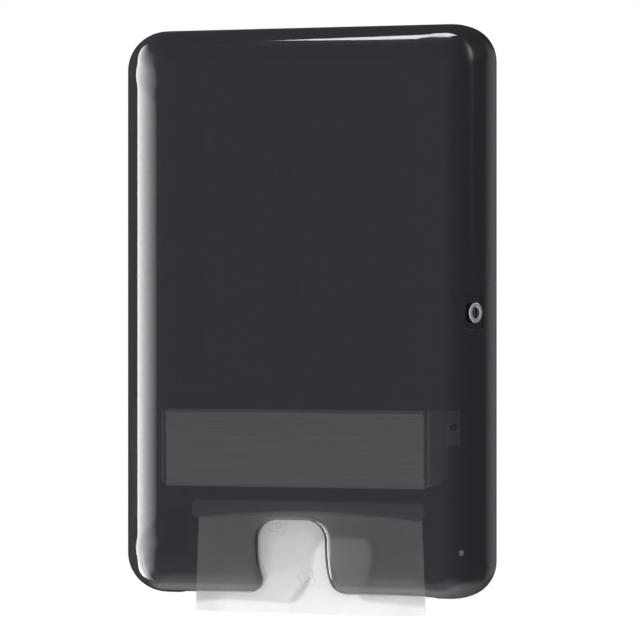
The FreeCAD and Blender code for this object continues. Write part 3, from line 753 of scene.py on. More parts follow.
def fill_flat(
    outline: np.ndarray, holes: Sequence[np.ndarray], rows: Sequence[np.ndarray], clear: float
) -> tuple[np.ndarray, list[tuple[int, ...]]]:
    """Fill a flat outline with triangles that follow given rows of points.

    Args:
        outline: The closed outline.
        holes: Closed outlines that stay open.
        rows: Rows of points across the outline, which no triangle crosses.
        clear: How far from the outlines the rows stop.

    Returns:
        The flat points and the triangles.
    """
    loops = [outline, *holes]
    points = [tuple(point) for loop in loops for point in loop]
    edges = []
    start = 0
    for loop in loops:
        count = len(loop)
        edges += [(start + i, start + (i + 1) % count) for i in range(count)]
        start += count
    for row in rows:
        last = None
        for place in row:
            free = inside(place, outline) and not any(inside(place, hole) for hole in holes)
            if free and min(distance(place, loop) for loop in loops) > clear:
                points.append(tuple(place))
                if last is not None:
                    edges.append((last, len(points) - 1))
                last = len(points) - 1
            else:
                last = None
    result = delaunay_2d_cdt([Vector(p) for p in points], edges, [], 0, 1e-9)
    places = np.array([tuple(v) for v in result[0]], dtype=float)
    for number, sources in enumerate(result[3]):
        if sources:
            places[number] = points[sources[0]]
    kept = []
    for triangle in result[2]:
        middle = places[list(triangle)].mean(0)
        if inside(middle, outline) and not any(inside(middle, hole) for hole in holes):
            kept.append(tuple(triangle))
    return places, kept


def lathe(name: str, outline: Sequence[Pair], steps: int) -> Mesh:
    """Turn an outline of radius and height round the Z axis into a closed mesh.

    Args:
        name: The mesh's name.
        outline: Radius and height, in order.
        steps: How many faces go round.

    Returns:
        The mesh.
    """
    build = bmesh.new()
    rings = []
    for radius, height in outline:
        if radius < 1e-7:
            rings.append([build.verts.new((0.0, 0.0, height))])
            continue
        ring = []
        for step in range(steps):
            angle = math.tau * step / steps
            place = (radius * math.cos(angle), radius * math.sin(angle), height)
            ring.append(build.verts.new(place))
        rings.append(ring)
    closed = len(rings[0]) > 1
    pairs = list(zip(rings, rings[1:] + rings[:1])) if closed else list(zip(rings, rings[1:]))
    for lower, upper in pairs:
        for i in range(steps):
            j = (i + 1) % steps
            corners = [lower[i % len(lower)], lower[j % len(lower)]]
            corners += [upper[j % len(upper)], upper[i % len(upper)]]
            corners = list(dict.fromkeys(corners))
            build.faces.new(corners)
    return finished(build, bpy.data.meshes.new(name), True)


def shade(mesh: Mesh, angle: float) -> None:
    """Shade a mesh smooth, with edges sharper than an angle in degrees kept crisp."""
    build = opened(mesh)
    for edge in build.edges:
        edge.smooth = edge.is_manifold and edge.calc_face_angle(0.0) < math.radians(angle)
    for face in build.faces:
        face.smooth = True
    finished(build, mesh)


def islands(node: Piece) -> list[Spot]:
    """The lowest and highest corners of each separate solid of a frame piece."""
    build = opened(node.data)
    bmesh.ops.remove_doubles(build, verts=build.verts, dist=1e-6)
    seen: set[int] = set()
    found = []
    build.verts.ensure_lookup_table()
    for start in build.verts:
        if start.index in seen:
            continue
        stack = [start]
        seen.add(start.index)
        group = []
        while stack:
            vert = stack.pop()
            group.append(tuple(vert.co))
            for edge in vert.link_edges:
                other = edge.other_vert(vert)
                if other.index not in seen:
                    seen.add(other.index)
                    stack.append(other)
        corners = np.array(group)
        found.append((corners.min(0), corners.max(0)))
    build.free()
    return found


# The cover's form --------------------


@dataclass(frozen=True)
class CoverForm:
    """The cover's outside: a flat front whose four sides bend back in one profile."""

    half_width: float
    half_height: float
    depth: float
    rim_depth: float = 3.5 * MM
    shoulder_radius: float = 44 * MM
    shoulder_angle: float = math.radians(79.0)
    rim_angle: float = math.radians(88.8)
    corner_radius: float = 30 * MM
    shoulder_rows: int = 26
    corner_steps: int = 16
    side_depths: tuple[float, ...] = (
        64 * MM, 56 * MM, 46 * MM, 35 * MM, 24 * MM, 14 * MM, 6.5 * MM, 3.5 * MM,
    )  # fmt: skip

    @property
    def shoulder_depth(self) -> float:
        """Depth of the shoulder's centre line."""
        return self.depth - self.shoulder_radius

    @property
    def side_radius(self) -> float:
        """Radius of the side between the shoulder and the rim."""
        first, last = math.cos(self.shoulder_angle), math.cos(self.rim_angle)
        side_depth = self.shoulder_depth + self.shoulder_radius * first
        return (side_depth - self.rim_depth) / (first - last)

    @property
    def front_reach(self) -> float:
        """Half width of the flat front."""
        side = math.sin(self.rim_angle) - math.sin(self.shoulder_angle)
        curve = self.side_radius * side
        return self.half_width - curve - self.shoulder_radius * math.sin(self.shoulder_angle)

    @property
    def taller(self) -> float:
        """How much further the cover reaches up than to the side."""
        return self.half_height - self.half_width

    def centre(self, angle: float) -> Triple:
        """Reach, depth and radius of the arc that an angle of the profile lies on."""
        if angle <= self.shoulder_angle:
            return self.front_reach, self.shoulder_depth, self.shoulder_radius
        spare = self.side_radius - self.shoulder_radius
        reach = self.front_reach - spare * math.sin(self.shoulder_angle)
        depth = self.shoulder_depth - spare * math.cos(self.shoulder_angle)
        return reach, depth, self.side_radius

    def profile(self, angle: float, inward: float = 0.0) -> Pair:
        """Sideways reach and depth at an angle, some way in from the skin."""
        reach, depth, radius = self.centre(angle)
        radius -= inward
        return reach + radius * math.sin(angle), depth + radius * math.cos(angle)

    def angle_at_depth(self, depth: float) -> float:
        """The profile's angle at a depth of the skin."""
        _, middle, radius = self.centre(0.0)
        if (depth - middle) / radius <= math.cos(self.shoulder_angle):
            _, middle, radius = self.centre(self.rim_angle)
        return math.acos(min(1.0, (depth - middle) / radius))

    def angle_at_reach(self, reach: float, inward: float) -> float:
        """The profile's angle where it has a sideways reach, some way in from the skin."""
        if reach <= self.front_reach:
            return 0.0
        share = (reach - self.front_reach) / (self.shoulder_radius - inward)
        if share <= math.sin(self.shoulder_angle):
            return math.asin(share)
        centre = self.centre(self.rim_angle)
        return math.asin(min(1.0, (reach - centre[0]) / (centre[2] - inward)))

    def length(self, angle: float) -> float:
        """Length of the profile from the flat front to an angle."""
        bend = min(angle, self.shoulder_angle)
        rest = max(0.0, angle - self.shoulder_angle)
        return self.shoulder_radius * bend + self.side_radius * rest

    def angle_at_length(self, length: float) -> float:
        """The profile's angle at a length from the flat front."""
        bend = self.shoulder_radius * self.shoulder_angle
        if length <= bend:
            return length / self.shoulder_radius
        return self.shoulder_angle + (length - bend) / self.side_radius

    def inward_at(self, reach: float, depth: float) -> Pair:
        """How far a place lies in from the skin, and the profile's angle there.

        Args:
            reach: The place's sideways reach.
            depth: Its depth.

        Returns:
            How far in, and the angle.
        """
        angle = math.atan2(reach - self.front_reach, depth - self.shoulder_depth)
        if angle <= self.shoulder_angle:
            away = math.hypot(reach - self.front_reach, depth - self.shoulder_depth)
            return self.shoulder_radius - away, angle
        centre = self.centre(self.rim_angle)
        angle = math.atan2(reach - centre[0], depth - centre[1])
        return centre[2] - math.hypot(reach - centre[0], depth - centre[1]), angle

    def angles(self) -> list[float]:
        """The profile's rows, from the flat front to the rim."""
        bend = [self.shoulder_angle * i / self.shoulder_rows for i in range(self.shoulder_rows + 1)]
        return bend + [self.angle_at_depth(depth) for depth in self.side_depths]

    def on_side(self, side: Side, along: float, angle: float) -> Spot:
        """A place and its normal on one of the straight sides.

        Args:
            side: Which side.
            along: How far along the side.
            angle: An angle of the profile.

        Returns:
            The place and its normal.
        """
        reach, depth = self.profile(angle)
        out, front = math.sin(angle), math.cos(angle)
        if side in (Side.RIGHT, Side.LEFT):
            sign = 1 if side is Side.RIGHT else -1
            return spot(sign * reach, depth, along), spot(sign * out, front, 0.0)
        sign = 1 if side is Side.TOP else -1
        return spot(along, depth, sign * (reach + self.taller)), spot(0.0, front, sign * out)

    def on_corner(self, right: int, up: int, turn: float, angle: float) -> Spot:
        """A place and its normal on a corner, at a turn from the side to the top.

        Args:
            right: 1 for the right, -1 for the left.
            up: 1 for the top, -1 for the foot.
            turn: The turn in radians.
            angle: An angle of the profile.

        Returns:
            The place and its normal.
        """
        reach, depth = self.profile(angle)
        across, rise = math.cos(turn), math.sin(turn)
        x = reach - self.corner_radius * (1 - across)
        z = reach + self.taller - self.corner_radius * (1 - rise)
        out, front = math.sin(angle), math.cos(angle) * (across + rise)
        normal = unit(spot(right * out * across, front, up * out * rise))
        return spot(right * x, depth, up * z), normal

    def straight(self, side: Side, angle: float) -> float:
        """Half the length of a straight side at an angle."""
        reach = self.profile(angle)[0]
        if side in (Side.RIGHT, Side.LEFT):
            reach += self.taller
        return reach - self.corner_radius


def spread(low: float, high: float, step: float) -> list[float]:
    """Evenly spread values from low to high, no further apart than about a step."""
    count = max(1, round(abs(high - low) / step))
    return [low + (high - low) * i / count for i in range(count + 1)]


@dataclass
class CoverPatches:
    """Lays the cover's form, or a skin some way inside it, into a sheet."""

    form: CoverForm
    sheet: Sheet
    inward: float = 0.0
    pitch: float = 9 * MM

    def shifted(self, where: Spot) -> Spot:
        """Move a place inwards along its normal."""
        return where[0] - self.inward * where[1], where[1]

    def strip(
        self, side: Side, angles: Sequence[float], stations: Callable, keep: Callable | None = None
    ) -> None:
        """Lay a straight side.

        Args:
            side: Which side.
            angles: The profile's rows.
            stations: Gives the places along the side for an angle.
            keep: Says for a face's middle whether the face is made.
        """
        rows = []
        for angle in angles:
            row = [self.form.on_side(side, along, angle) for along in stations(angle)]
            rows.append([self.sheet.point(self.shifted(where)) for where in row])
        self.sheet.grid(rows, keep)

    def corner(
        self, right: int, up: int, angles: Sequence[float], keep: Callable | None = None
    ) -> None:
        """Lay a corner, to the right or left and up or down."""
        steps = self.form.corner_steps
        rows = []
        for angle in angles:
            row = []
            for step in range(steps + 1):
                where = self.form.on_corner(right, up, math.pi / 2 * step / steps, angle)
                row.append(self.sheet.point(self.shifted(where)))
            rows.append(row)
        self.sheet.grid(rows, keep)

    def corner_line(self, right: int, up: int) -> list[Pair]:
        """The flat front's rounded corner, from its side to its top or foot."""
        steps = self.form.corner_steps
        line = []
        for step in range(steps + 1):
            place = self.form.on_corner(right, up, math.pi / 2 * step / steps, 0.0)[0]
            line.append((float(place[0]), float(place[2])))
        return line

    def over_the_top(self, side: Sequence[float]) -> list[Pair]:
        """The flat front's edge, up its right side, over its top and down its left side.

        Args:
            side: The places up a side, whose ends belong to the corners.
        """
        front = self.form.front_reach
        top = self.even(Side.TOP)(0.0)
        line = [(front, z) for z in side[1:-1]] + self.corner_line(1, 1)
        line += [(x, front + self.form.taller) for x in reversed(top[1:-1])]
        line += list(reversed(self.corner_line(-1, 1)))
        return line + [(-front, z) for z in reversed(side[1:-1])]

    def even(self, side: Side) -> Callable:
        """Stations that keep their share of a side on every row."""
        count = len(spread(-1, 1, self.pitch / self.form.straight(side, 0.0))) - 1

        def stations(angle: float) -> list[float]:
            """Places along the side at an angle."""
            half = self.form.straight(side, angle)
            return [half * (2 * i / count - 1) for i in range(count + 1)]

        return stations

    def developed(
        self, where_at: Callable, outline: Sequence, holes: Sequence = (), rows: Sequence = ()
    ) -> None:
        """Lay a surface that is filled in a flat drawing of it.

        Args:
            where_at: Gives the place and normal of a flat point.
            outline: The surface's closed outline in the drawing.
            holes: Outlines that stay open.
            rows: Rows of points that the faces follow.
        """
        places, triangles = fill_flat(
            np.array(outline), [np.array(h) for h in holes], [np.array(r) for r in rows], 2 * MM
        )
        numbers = [self.sheet.point(self.shifted(where_at(*place))) for place in places]
        for triangle in triangles:
            self.sheet.face([numbers[corner] for corner in triangle])


    def right_side(self, angles: Sequence[float], stations: Callable, hole: Sequence[Pair]) -> None:
        """Lay the right side round the lock's recess.

        Args:
            angles: The profile's rows.
            stations: Gives the places along the side for an angle.
            hole: The recess's mouth in the flat drawing of the side.
        """
        form = self.form
        between = angles[1:-1]
        outline = [(z, 0.0) for z in stations(angles[0])]
        outline += [(form.straight(Side.RIGHT, angle), form.length(angle)) for angle in between]
        outline += [(z, form.length(angles[-1])) for z in reversed(stations(angles[-1]))]
        outline += [(stations(angle)[0], form.length(angle)) for angle in reversed(between)]
        rows = [[(z, form.length(angle)) for z in stations(angle)[1:-1]] for angle in between]

        def where_at(z: float, length: float) -> Spot:
            """A place on the side from its flat drawing."""
            return form.on_side(Side.RIGHT, z, form.angle_at_length(length))

        self.developed(where_at, outline, (hole,), rows)


@dataclass(frozen=True)
class Notch:
    """The grip notch of the cover, with its rolled lip, as half of it seen from the front."""

    top: float
    flare_z: float
    half_width: float = 27.5 * MM
    corner: float = 16 * MM
    flare: float = 14 * MM
    flare_turn: float = math.radians(60.0)
    tail: float = 14 * MM
    roll: float = 9 * MM
    lip_depth: float = 17 * MM
    roll_steps: int = 10

    def outline(self, share: float) -> tuple[np.ndarray, np.ndarray]:
        """A place on the right half of the opening and its direction away from the hole.

        Args:
            share: 0 to 1 along the top, to 2 round the corner, to 3 down the side, to 4
                round the flare, and past that down the tail.

        Returns:
            The flat place and the flat direction.
        """
        inner = self.half_width - self.corner
        if share < 1:
            return np.array((inner * share, self.top)), np.array((0.0, 1.0))
        if share < 2:
            turn = math.pi / 2 * (2 - share)
            out = np.array((math.cos(turn), math.sin(turn)))
            return np.array((inner, self.top - self.corner)) + self.corner * out, out
        if share < 3:
            high = self.top - self.corner
            z = high + (self.flare_z - high) * (share - 2)
            return np.array((self.half_width, z)), np.array((1.0, 0.0))
        centre = np.array((self.half_width + self.flare, self.flare_z))
        turn = math.pi + self.flare_turn * min(1.0, share - 3)
        out = np.array((-math.cos(turn), -math.sin(turn)))
        place = centre - self.flare * out
        if share > 4:
            place = place + (share - 4) * self.tail * np.array((out[1], -out[0]))
        return place, out

    def shares(self) -> list[float]:
        """Where the right half of the lip has its points."""
        counts = (3, 12, 7, 12, 5)
        found = [0.0]
        for piece, count in enumerate(counts):
            found += [piece + (i + 1) / count for i in range(count)]
        return found

    def wall(self, form: CoverForm, share: float, round_share: float) -> Spot:
        """A place on the rolled edge, from the skin at 0 to the opening's wall at 1.

        Args:
            form: The cover's form.
            share: Where along the outline.
            round_share: How far round the roll.

        Returns:
            The place and its normal.
        """
        flat, out = self.outline(share)
        middle = flat + self.roll * out
        angle = 0.0
        if middle[1] < 0:
            angle = form.angle_at_reach(abs(middle[1]) - form.taller, self.roll)
        depth = form.profile(angle, self.roll)[1]
        skin = spot(0.0, math.cos(angle), -math.sin(angle))
        hole = spot(-out[0], 0.0, -out[1])
        way = slerp(skin, hole, round_share)
        return spot(middle[0], depth, middle[1]) + self.roll * way, way

    def rows(self, form: CoverForm, foot_depth: float) -> list[list[Spot]]:
        """Rows of the lip from the skin to its inner edge, from left to right."""
        rows = []
        for step in range(self.roll_steps + 1):
            round_share = step / self.roll_steps
            limit = foot_depth + 0.5 * MM * round_share
            low, high = 4.0, 5.0
            for _ in range(40):
                middle = (low + high) / 2
                if self.wall(form, middle, round_share)[0][1] > limit:
                    low = middle
                else:
                    high = middle
            half = []
            for share in self.shares():
                used = share if share <= 4 else 4 + (share - 4) * (low - 4)
                half.append(self.wall(form, used, round_share))
            rows.append(half)
        last = rows[-1]
        for deeper in (0.18, 1.0):
            row = []
            for place, way in last:
                reach = abs(place[2]) - form.taller
                angle = form.angle_at_reach(reach, self.lip_depth) if place[2] < 0 else 0.0
                end = max(foot_depth, form.profile(angle, self.lip_depth)[1])
                depth = place[1] + (end - place[1]) * deeper
                row.append((spot(place[0], depth, place[2]), way))
            rows.append(row)
        mirror = spot(-1.0, 1.0, 1.0)
        whole = []
        for row in rows:
            left = [(place * mirror, way * mirror) for place, way in reversed(row[1:])]
            whole.append(left + row)
        return whole


@dataclass(frozen=True)
class LockFrame:
    """The lock's own axes: Z out of its pocket, Y up."""

    x: float
    depth: float
    z: float
    turn: float = math.radians(60.0)

    def place(self, x: float, y: float, z: float) -> np.ndarray:
        """A place in the cover's axes from one in the lock's."""
        return spot(self.x, self.depth, self.z) + self.way(x, y, z)

    def way(self, x: float, y: float, z: float) -> np.ndarray:
        """A direction in the cover's axes from one in the lock's."""
        across = x * math.cos(self.turn) + z * math.sin(self.turn)
        depth = z * math.cos(self.turn) - x * math.sin(self.turn)
        return spot(across, depth, y)


@dataclass(frozen=True)
class Pocket:
    """The rounded square recess round the lock."""

    frame: LockFrame
    front_reach: float = 22 * MM
    back_reach: float = 14 * MM
    half_height: float = 13.5 * MM
    corner: float = 6 * MM
    mouth_roll: float = 0.5 * MM
    floor_roll: float = 0.35 * MM
    hole_radius: float = 6.1 * MM
    corner_steps: int = 7
    side_steps: int = 8
    roll_steps: int = 4

    def outline(self, grow: float = 0.0) -> list[Spot]:
        """Places round the recess in the lock's axes, and their directions outwards."""
        found = []
        back, front = self.back_reach - self.corner, self.corner - self.front_reach
        high = self.half_height - self.corner
        posts = [np.array(p) for p in ((back, high), (front, high), (front, -high), (back, -high))]
        for index, post in enumerate(posts):
            for step in range(self.corner_steps + 1):
                turn = math.pi / 2 * (index + step / self.corner_steps)
                out = np.array((math.cos(turn), math.sin(turn)))
                found.append((post + (self.corner + grow) * out, out))
            after = posts[(index + 1) % 4]
            for step in range(1, self.side_steps):
                place = post + (after - post) * step / self.side_steps
                found.append((place + (self.corner + grow) * out, out))
        return found

    def height_at(self, form: CoverForm, flat: np.ndarray, inward: float) -> float:
        """How far along the lock's axis a skin lies, some way in from the cover's."""
        low, high = -20 * MM, 25 * MM
        for _ in range(50):
            middle = (low + high) / 2
            place = self.frame.place(flat[0], flat[1], middle)
            if form.inward_at(place[0], place[1])[0] > inward:
                low = middle
            else:
                high = middle
        return low

    def mouth(self, form: CoverForm) -> list[tuple[np.ndarray, np.ndarray, np.ndarray, float]]:
        """For each place round the mouth: the roll's centre, the two normals and the angle."""
        found = []
        for flat, out in self.outline(self.mouth_roll):
            height = self.height_at(form, flat, self.mouth_roll)
            centre = self.frame.place(flat[0], flat[1], height)
            angle = form.inward_at(centre[0], centre[1])[1]
            skin = spot(math.sin(angle), math.cos(angle), 0.0)
            found.append((centre, skin, self.frame.way(-out[0], -out[1], 0.0), angle))
        return found

    def hole(self, form: CoverForm) -> list[Pair]:
        """The mouth in the flat drawing of the cover's right side."""
        drawn = []
        for centre, skin, _, angle in self.mouth(form):
            place = centre + self.mouth_roll * skin
            drawn.append((float(place[2]), form.length(angle)))
        return drawn

    def lay(self, form: CoverForm, sheet: Sheet) -> None:
        """Lay the recess into the cover's skin."""
        rows: list[list[int]] = []
        wall = sheet.wall
        mouth = self.mouth(form)
        corners = []
        for centre, skin, side, _ in mouth:
            miter = (wall - self.mouth_roll) * (skin + side) / (1 + skin @ side)
            corners.append(centre - miter)
        for step in range(self.roll_steps + 1):
            row = []
            for (centre, skin, side, _), corner in zip(mouth, corners):
                way = slerp(skin, side, step / self.roll_steps)
                row.append(sheet.point((centre + self.mouth_roll * way, way), corner))
            rows.append(row + row[:1])
        out_z = self.frame.way(0.0, 0.0, 1.0)
        for step in range(self.roll_steps + 1):
            turn = math.pi / 2 * step / self.roll_steps
            row = []
            for (flat, out), (outer, _) in zip(self.outline(-self.floor_roll), self.outline(wall)):
                side = self.frame.way(-out[0], -out[1], 0.0)
                way = math.cos(turn) * side + math.sin(turn) * out_z
                centre = self.frame.place(flat[0], flat[1], self.floor_roll)
                back = self.frame.place(outer[0], outer[1], -wall)
                row.append(sheet.point((centre - self.floor_roll * way, way), back))
            rows.append(row + row[:1])
        ring = []
        for flat, _ in self.outline():
            turn = math.atan2(flat[1], flat[0])
            x, y = self.hole_radius * math.cos(turn), self.hole_radius * math.sin(turn)
            ring.append(sheet.point((self.frame.place(x, y, 0.0), out_z)))
        rows.append(ring + ring[:1])
        sheet.grid(rows)


@dataclass
class Cover:
    """The swinging cover: smoke shell, black mask behind its upper part, and small parts."""

    form: CoverForm
    lock: LockFrame
    mask_bottom: float
    hinge_z: float
    wall: float = 2.8 * MM
    notch_rise: float = 68.2 * MM
    flare_rise: float = 20.6 * MM
    outlet_half: float = 110 * MM
    outlet_depth: float = 64 * MM
    outlet_corner: float = 8 * MM
    cut_back_x: float = -139.5 * MM
    cut_back_depth: float = 6.5 * MM
    mask_inward: float = 3.1 * MM
    mask_wall: float = 1.8 * MM
    mask_rim_depth: float = 16 * MM
    leaf_half: float = 16 * MM
    leaf_face_x: float = -143.6 * MM
    leaf_depths: tuple[float, float] = (26 * MM, 48 * MM)
    lock_gap: float = 0.6 * MM
    window_half: float = 22 * MM
    window_depth: float = 54 * MM
    lip_turn: int = 7

    def front_or_foot(self, x: float, v: float) -> Spot:
        """A place from the flat drawing of the front with the foot folded out."""
        edge = -(self.form.front_reach + self.form.taller)
        if v >= edge:
            return spot(x, self.form.depth, v), spot(0.0, 1.0, 0.0)
        angle = self.form.angle_at_length(edge - v)
        return self.form.on_side(Side.BOTTOM, x, angle)

    def drawn_v(self, angle: float) -> float:
        """Where a row of the foot lies in that drawing."""
        return -(self.form.front_reach + self.form.taller) - self.form.length(angle)

    def outlet_line(self, end_x: float) -> list[Pair]:
        """The outlet's edge in the drawing, from the notch to the rim on the right."""
        form = self.form
        front = self.drawn_v(form.angle_at_depth(self.outlet_depth))
        corner_x = self.outlet_half - self.outlet_corner
        line = [(x, front) for x in spread(end_x, corner_x, 6 * MM)[1:]]
        for step in range(1, 8):
            turn = math.pi / 2 * step / 7
            x = corner_x + self.outlet_corner * math.sin(turn)
            depth = self.outlet_depth - self.outlet_corner * (1 - math.cos(turn))
            line.append((x, self.drawn_v(form.angle_at_depth(depth))))
        low = self.outlet_depth - self.outlet_corner
        for depth in spread(low, form.rim_depth, 8 * MM)[1:]:
            line.append((self.outlet_half, self.drawn_v(form.angle_at_depth(depth))))
        return line

    def shell(self) -> Piece:
        """Make the smoke shell as one closed wall with its notch, outlet and lock recess."""
        form = self.form
        sheet = Sheet(self.wall)
        patches = CoverPatches(form, sheet)
        angles = form.angles()
        notch = Notch(self.notch_rise - form.half_height, self.flare_rise - form.half_height)
        lip = notch.rows(form, self.outlet_depth)
        first = [place for place, _ in lip[0]]

        def keep(middle: np.ndarray) -> bool:
            """Leave the rim out where it would meet the wall plate as the cover swings."""
            return middle[0] > self.cut_back_x or middle[1] > self.cut_back_depth

        patches.strip(Side.TOP, angles, patches.even(Side.TOP))
        patches.strip(Side.LEFT, angles, patches.even(Side.LEFT), keep)
        for right in (-1, 1):
            for up in (-1, 1):
                patches.corner(right, up, angles, keep)

        drawn_lip = []
        for place in first:
            if place[1] > form.depth - 1e-9:
                drawn_lip.append((place[0], place[2]))
            else:
                drawn_lip.append((place[0], self.drawn_v(form.angle_at_depth(place[1]))))
        right_foot = self.outlet_line(drawn_lip[-1][0])
        left_foot = [(-x, v) for x, v in reversed(right_foot)]
        outline = list(drawn_lip) + right_foot
        rim_v = self.drawn_v(angles[-1])
        rim_half = form.straight(Side.BOTTOM, angles[-1])
        outline += [(x, rim_v) for x in spread(self.outlet_half, rim_half, 6 * MM)[1:]]
        for angle in reversed(angles[1:-1]):
            outline.append((form.straight(Side.BOTTOM, angle), self.drawn_v(angle)))
        outline += list(reversed(patches.corner_line(1, -1)))
        outline += patches.over_the_top(patches.even(Side.RIGHT)(0.0))
        outline += patches.corner_line(-1, -1)
        for angle in angles[1:]:
            outline.append((-form.straight(Side.BOTTOM, angle), self.drawn_v(angle)))
        outline += [(x, rim_v) for x in spread(-rim_half, -self.outlet_half, 6 * MM)[1:-1]]
        outline += left_foot
        rows = []
        for angle in angles[:-1]:
            half = form.straight(Side.BOTTOM, angle)
            rows.append([(x, self.drawn_v(angle)) for x in spread(-half, half, 6 * MM)[1:-1]])
        for v in spread(-170 * MM, 170 * MM, 34 * MM):
            rows.append([(x, v) for x in spread(-90 * MM, 90 * MM, 30 * MM)])
        patches.developed(self.front_or_foot, outline, (), rows)

        lip_rows = [[sheet.point(where) for where in row] for row in lip]
        sheet.grid(lip_rows[: self.lip_turn + 1])
        sheet.slot = 2
        sheet.grid(lip_rows[self.lip_turn : notch.roll_steps + 2])
        sheet.slot = 3
        sheet.grid(lip_rows[notch.roll_steps + 1 :])
        sheet.slot = 0

        pocket = Pocket(self.lock)
        patches.right_side(angles, patches.even(Side.RIGHT), pocket.hole(form))
        pocket.lay(form, sheet)
        shell = sheet.solid("cover_smoke")
        self._add_leaf_pads(shell)
        return shell

    def _add_leaf_pads(self, shell: Piece) -> None:
        """Add the two pads inside the left wall that the hinge leaves are screwed to."""
        build = opened(shell.data)
        low, high = self.leaf_depths
        reach = self.form.profile(self.form.angle_at_depth(high))[0]
        size = (self.leaf_face_x + reach - MM, high - low, 2 * self.leaf_half)
        for z in (-self.hinge_z, self.hinge_z):
            middle = ((self.leaf_face_x - reach + MM) / 2, -(low + high) / 2, z)
            corners = add_block(build, middle, size)
            for face in {face for corner in corners for face in corner.link_faces}:
                face.material_index = 1
                face.smooth = False
        finished(build, shell.data)

    def mask(self) -> Piece:
        """Make the black mask behind the cover's upper part."""
        form = self.form
        sheet = Sheet(self.mask_wall)
        patches = CoverPatches(form, sheet, self.mask_inward)
        angles = [a for a in form.angles() if form.profile(a)[1] > self.mask_rim_depth]
        angles.append(form.angle_at_depth(self.mask_rim_depth))
        foot = self.mask_bottom
        window = (self.hinge_z - self.window_half, self.hinge_z + self.window_half)

        def side_stations(angle: float) -> list[float]:
            """Places up a side, with one where the hinge's window starts."""
            top = form.straight(Side.RIGHT, angle)
            return spread(foot, window[0], 10 * MM) + spread(window[0], top, 10 * MM)[1:]

        def keep(middle: np.ndarray) -> bool:
            """Leave the hinge's window open."""
            low = middle[1] < self.window_depth and middle[0] < self.cut_back_x + 6 * MM
            return not (low and window[0] < middle[2] < window[1])

        patches.strip(Side.TOP, angles, patches.even(Side.TOP))
        patches.strip(Side.LEFT, angles, side_stations, keep)
        for right in (-1, 1):
            patches.corner(right, 1, angles, keep)
        side = side_stations(0.0)
        outline = [(x, foot) for x in spread(-form.front_reach, form.front_reach, 20 * MM)]
        outline += patches.over_the_top(side)
        rows = [[(x, z) for x in spread(-80 * MM, 80 * MM, 32 * MM)] for z in side[2:-2:3]]
        patches.developed(self.front_or_foot, outline, (), rows)

        pocket = Pocket(self.lock)
        hole = []
        for flat, _ in pocket.outline(self.wall + self.lock_gap):
            height = pocket.height_at(form, flat, self.mask_inward)
            place = self.lock.place(flat[0], flat[1], height)
            angle = form.inward_at(place[0], place[1])[1]
            hole.append((float(place[2]), form.length(angle)))
        patches.right_side(angles, side_stations, hole)
        return sheet.solid("cover_mask_skin")


# Repeats by Geometry Nodes --------------------


def node_input(tree: Tree, name: str, kind: str, default: float | None = None) -> None:
    """Add a named input to a geometry tree."""
    socket = tree.interface.new_socket(name, in_out="INPUT", socket_type=kind)
    if default is not None:
        socket.default_value = default


def run_tree(name: str, points: Sequence[Triple], tree: Tree, values: dict, **turns: list) -> Piece:
    """Run a geometry tree on points and keep the result as a plain mesh.

    Args:
        name: The new piece's name.
        points: The places that the tree starts from.
        tree: The geometry tree.
        values: Values for its named inputs, whose Piece is used up.
        turns: Vectors for the points, each kind under its attribute's name.

    Returns:
        The piece.
    """
    base = bpy.data.meshes.new(name + "_points")
    base.from_pydata(points, [], [])
    for key, vectors in turns.items():
        attribute = base.attributes.new(key, "FLOAT_VECTOR", "POINT")
        for index, vector in enumerate(vectors):
            attribute.data[index].vector = vector
    carrier = new_piece(base.name, base)
    modifier = carrier.modifiers.new("repeat", "NODES")
    modifier.node_group = tree
    for item in tree.interface.items_tree:
        if item.item_type == "SOCKET" and item.in_out == "INPUT" and item.name in values:
            modifier[item.identifier] = values[item.name]
    mesh = evaluated(carrier)
    bpy.data.objects.remove(carrier)
    bpy.data.objects.remove(values["Piece"])
    mesh.name = name
    if len(mesh.materials) > 1 and mesh.materials[0] is None:
        mesh.materials.pop(index=0)
    return new_piece(name, mesh)


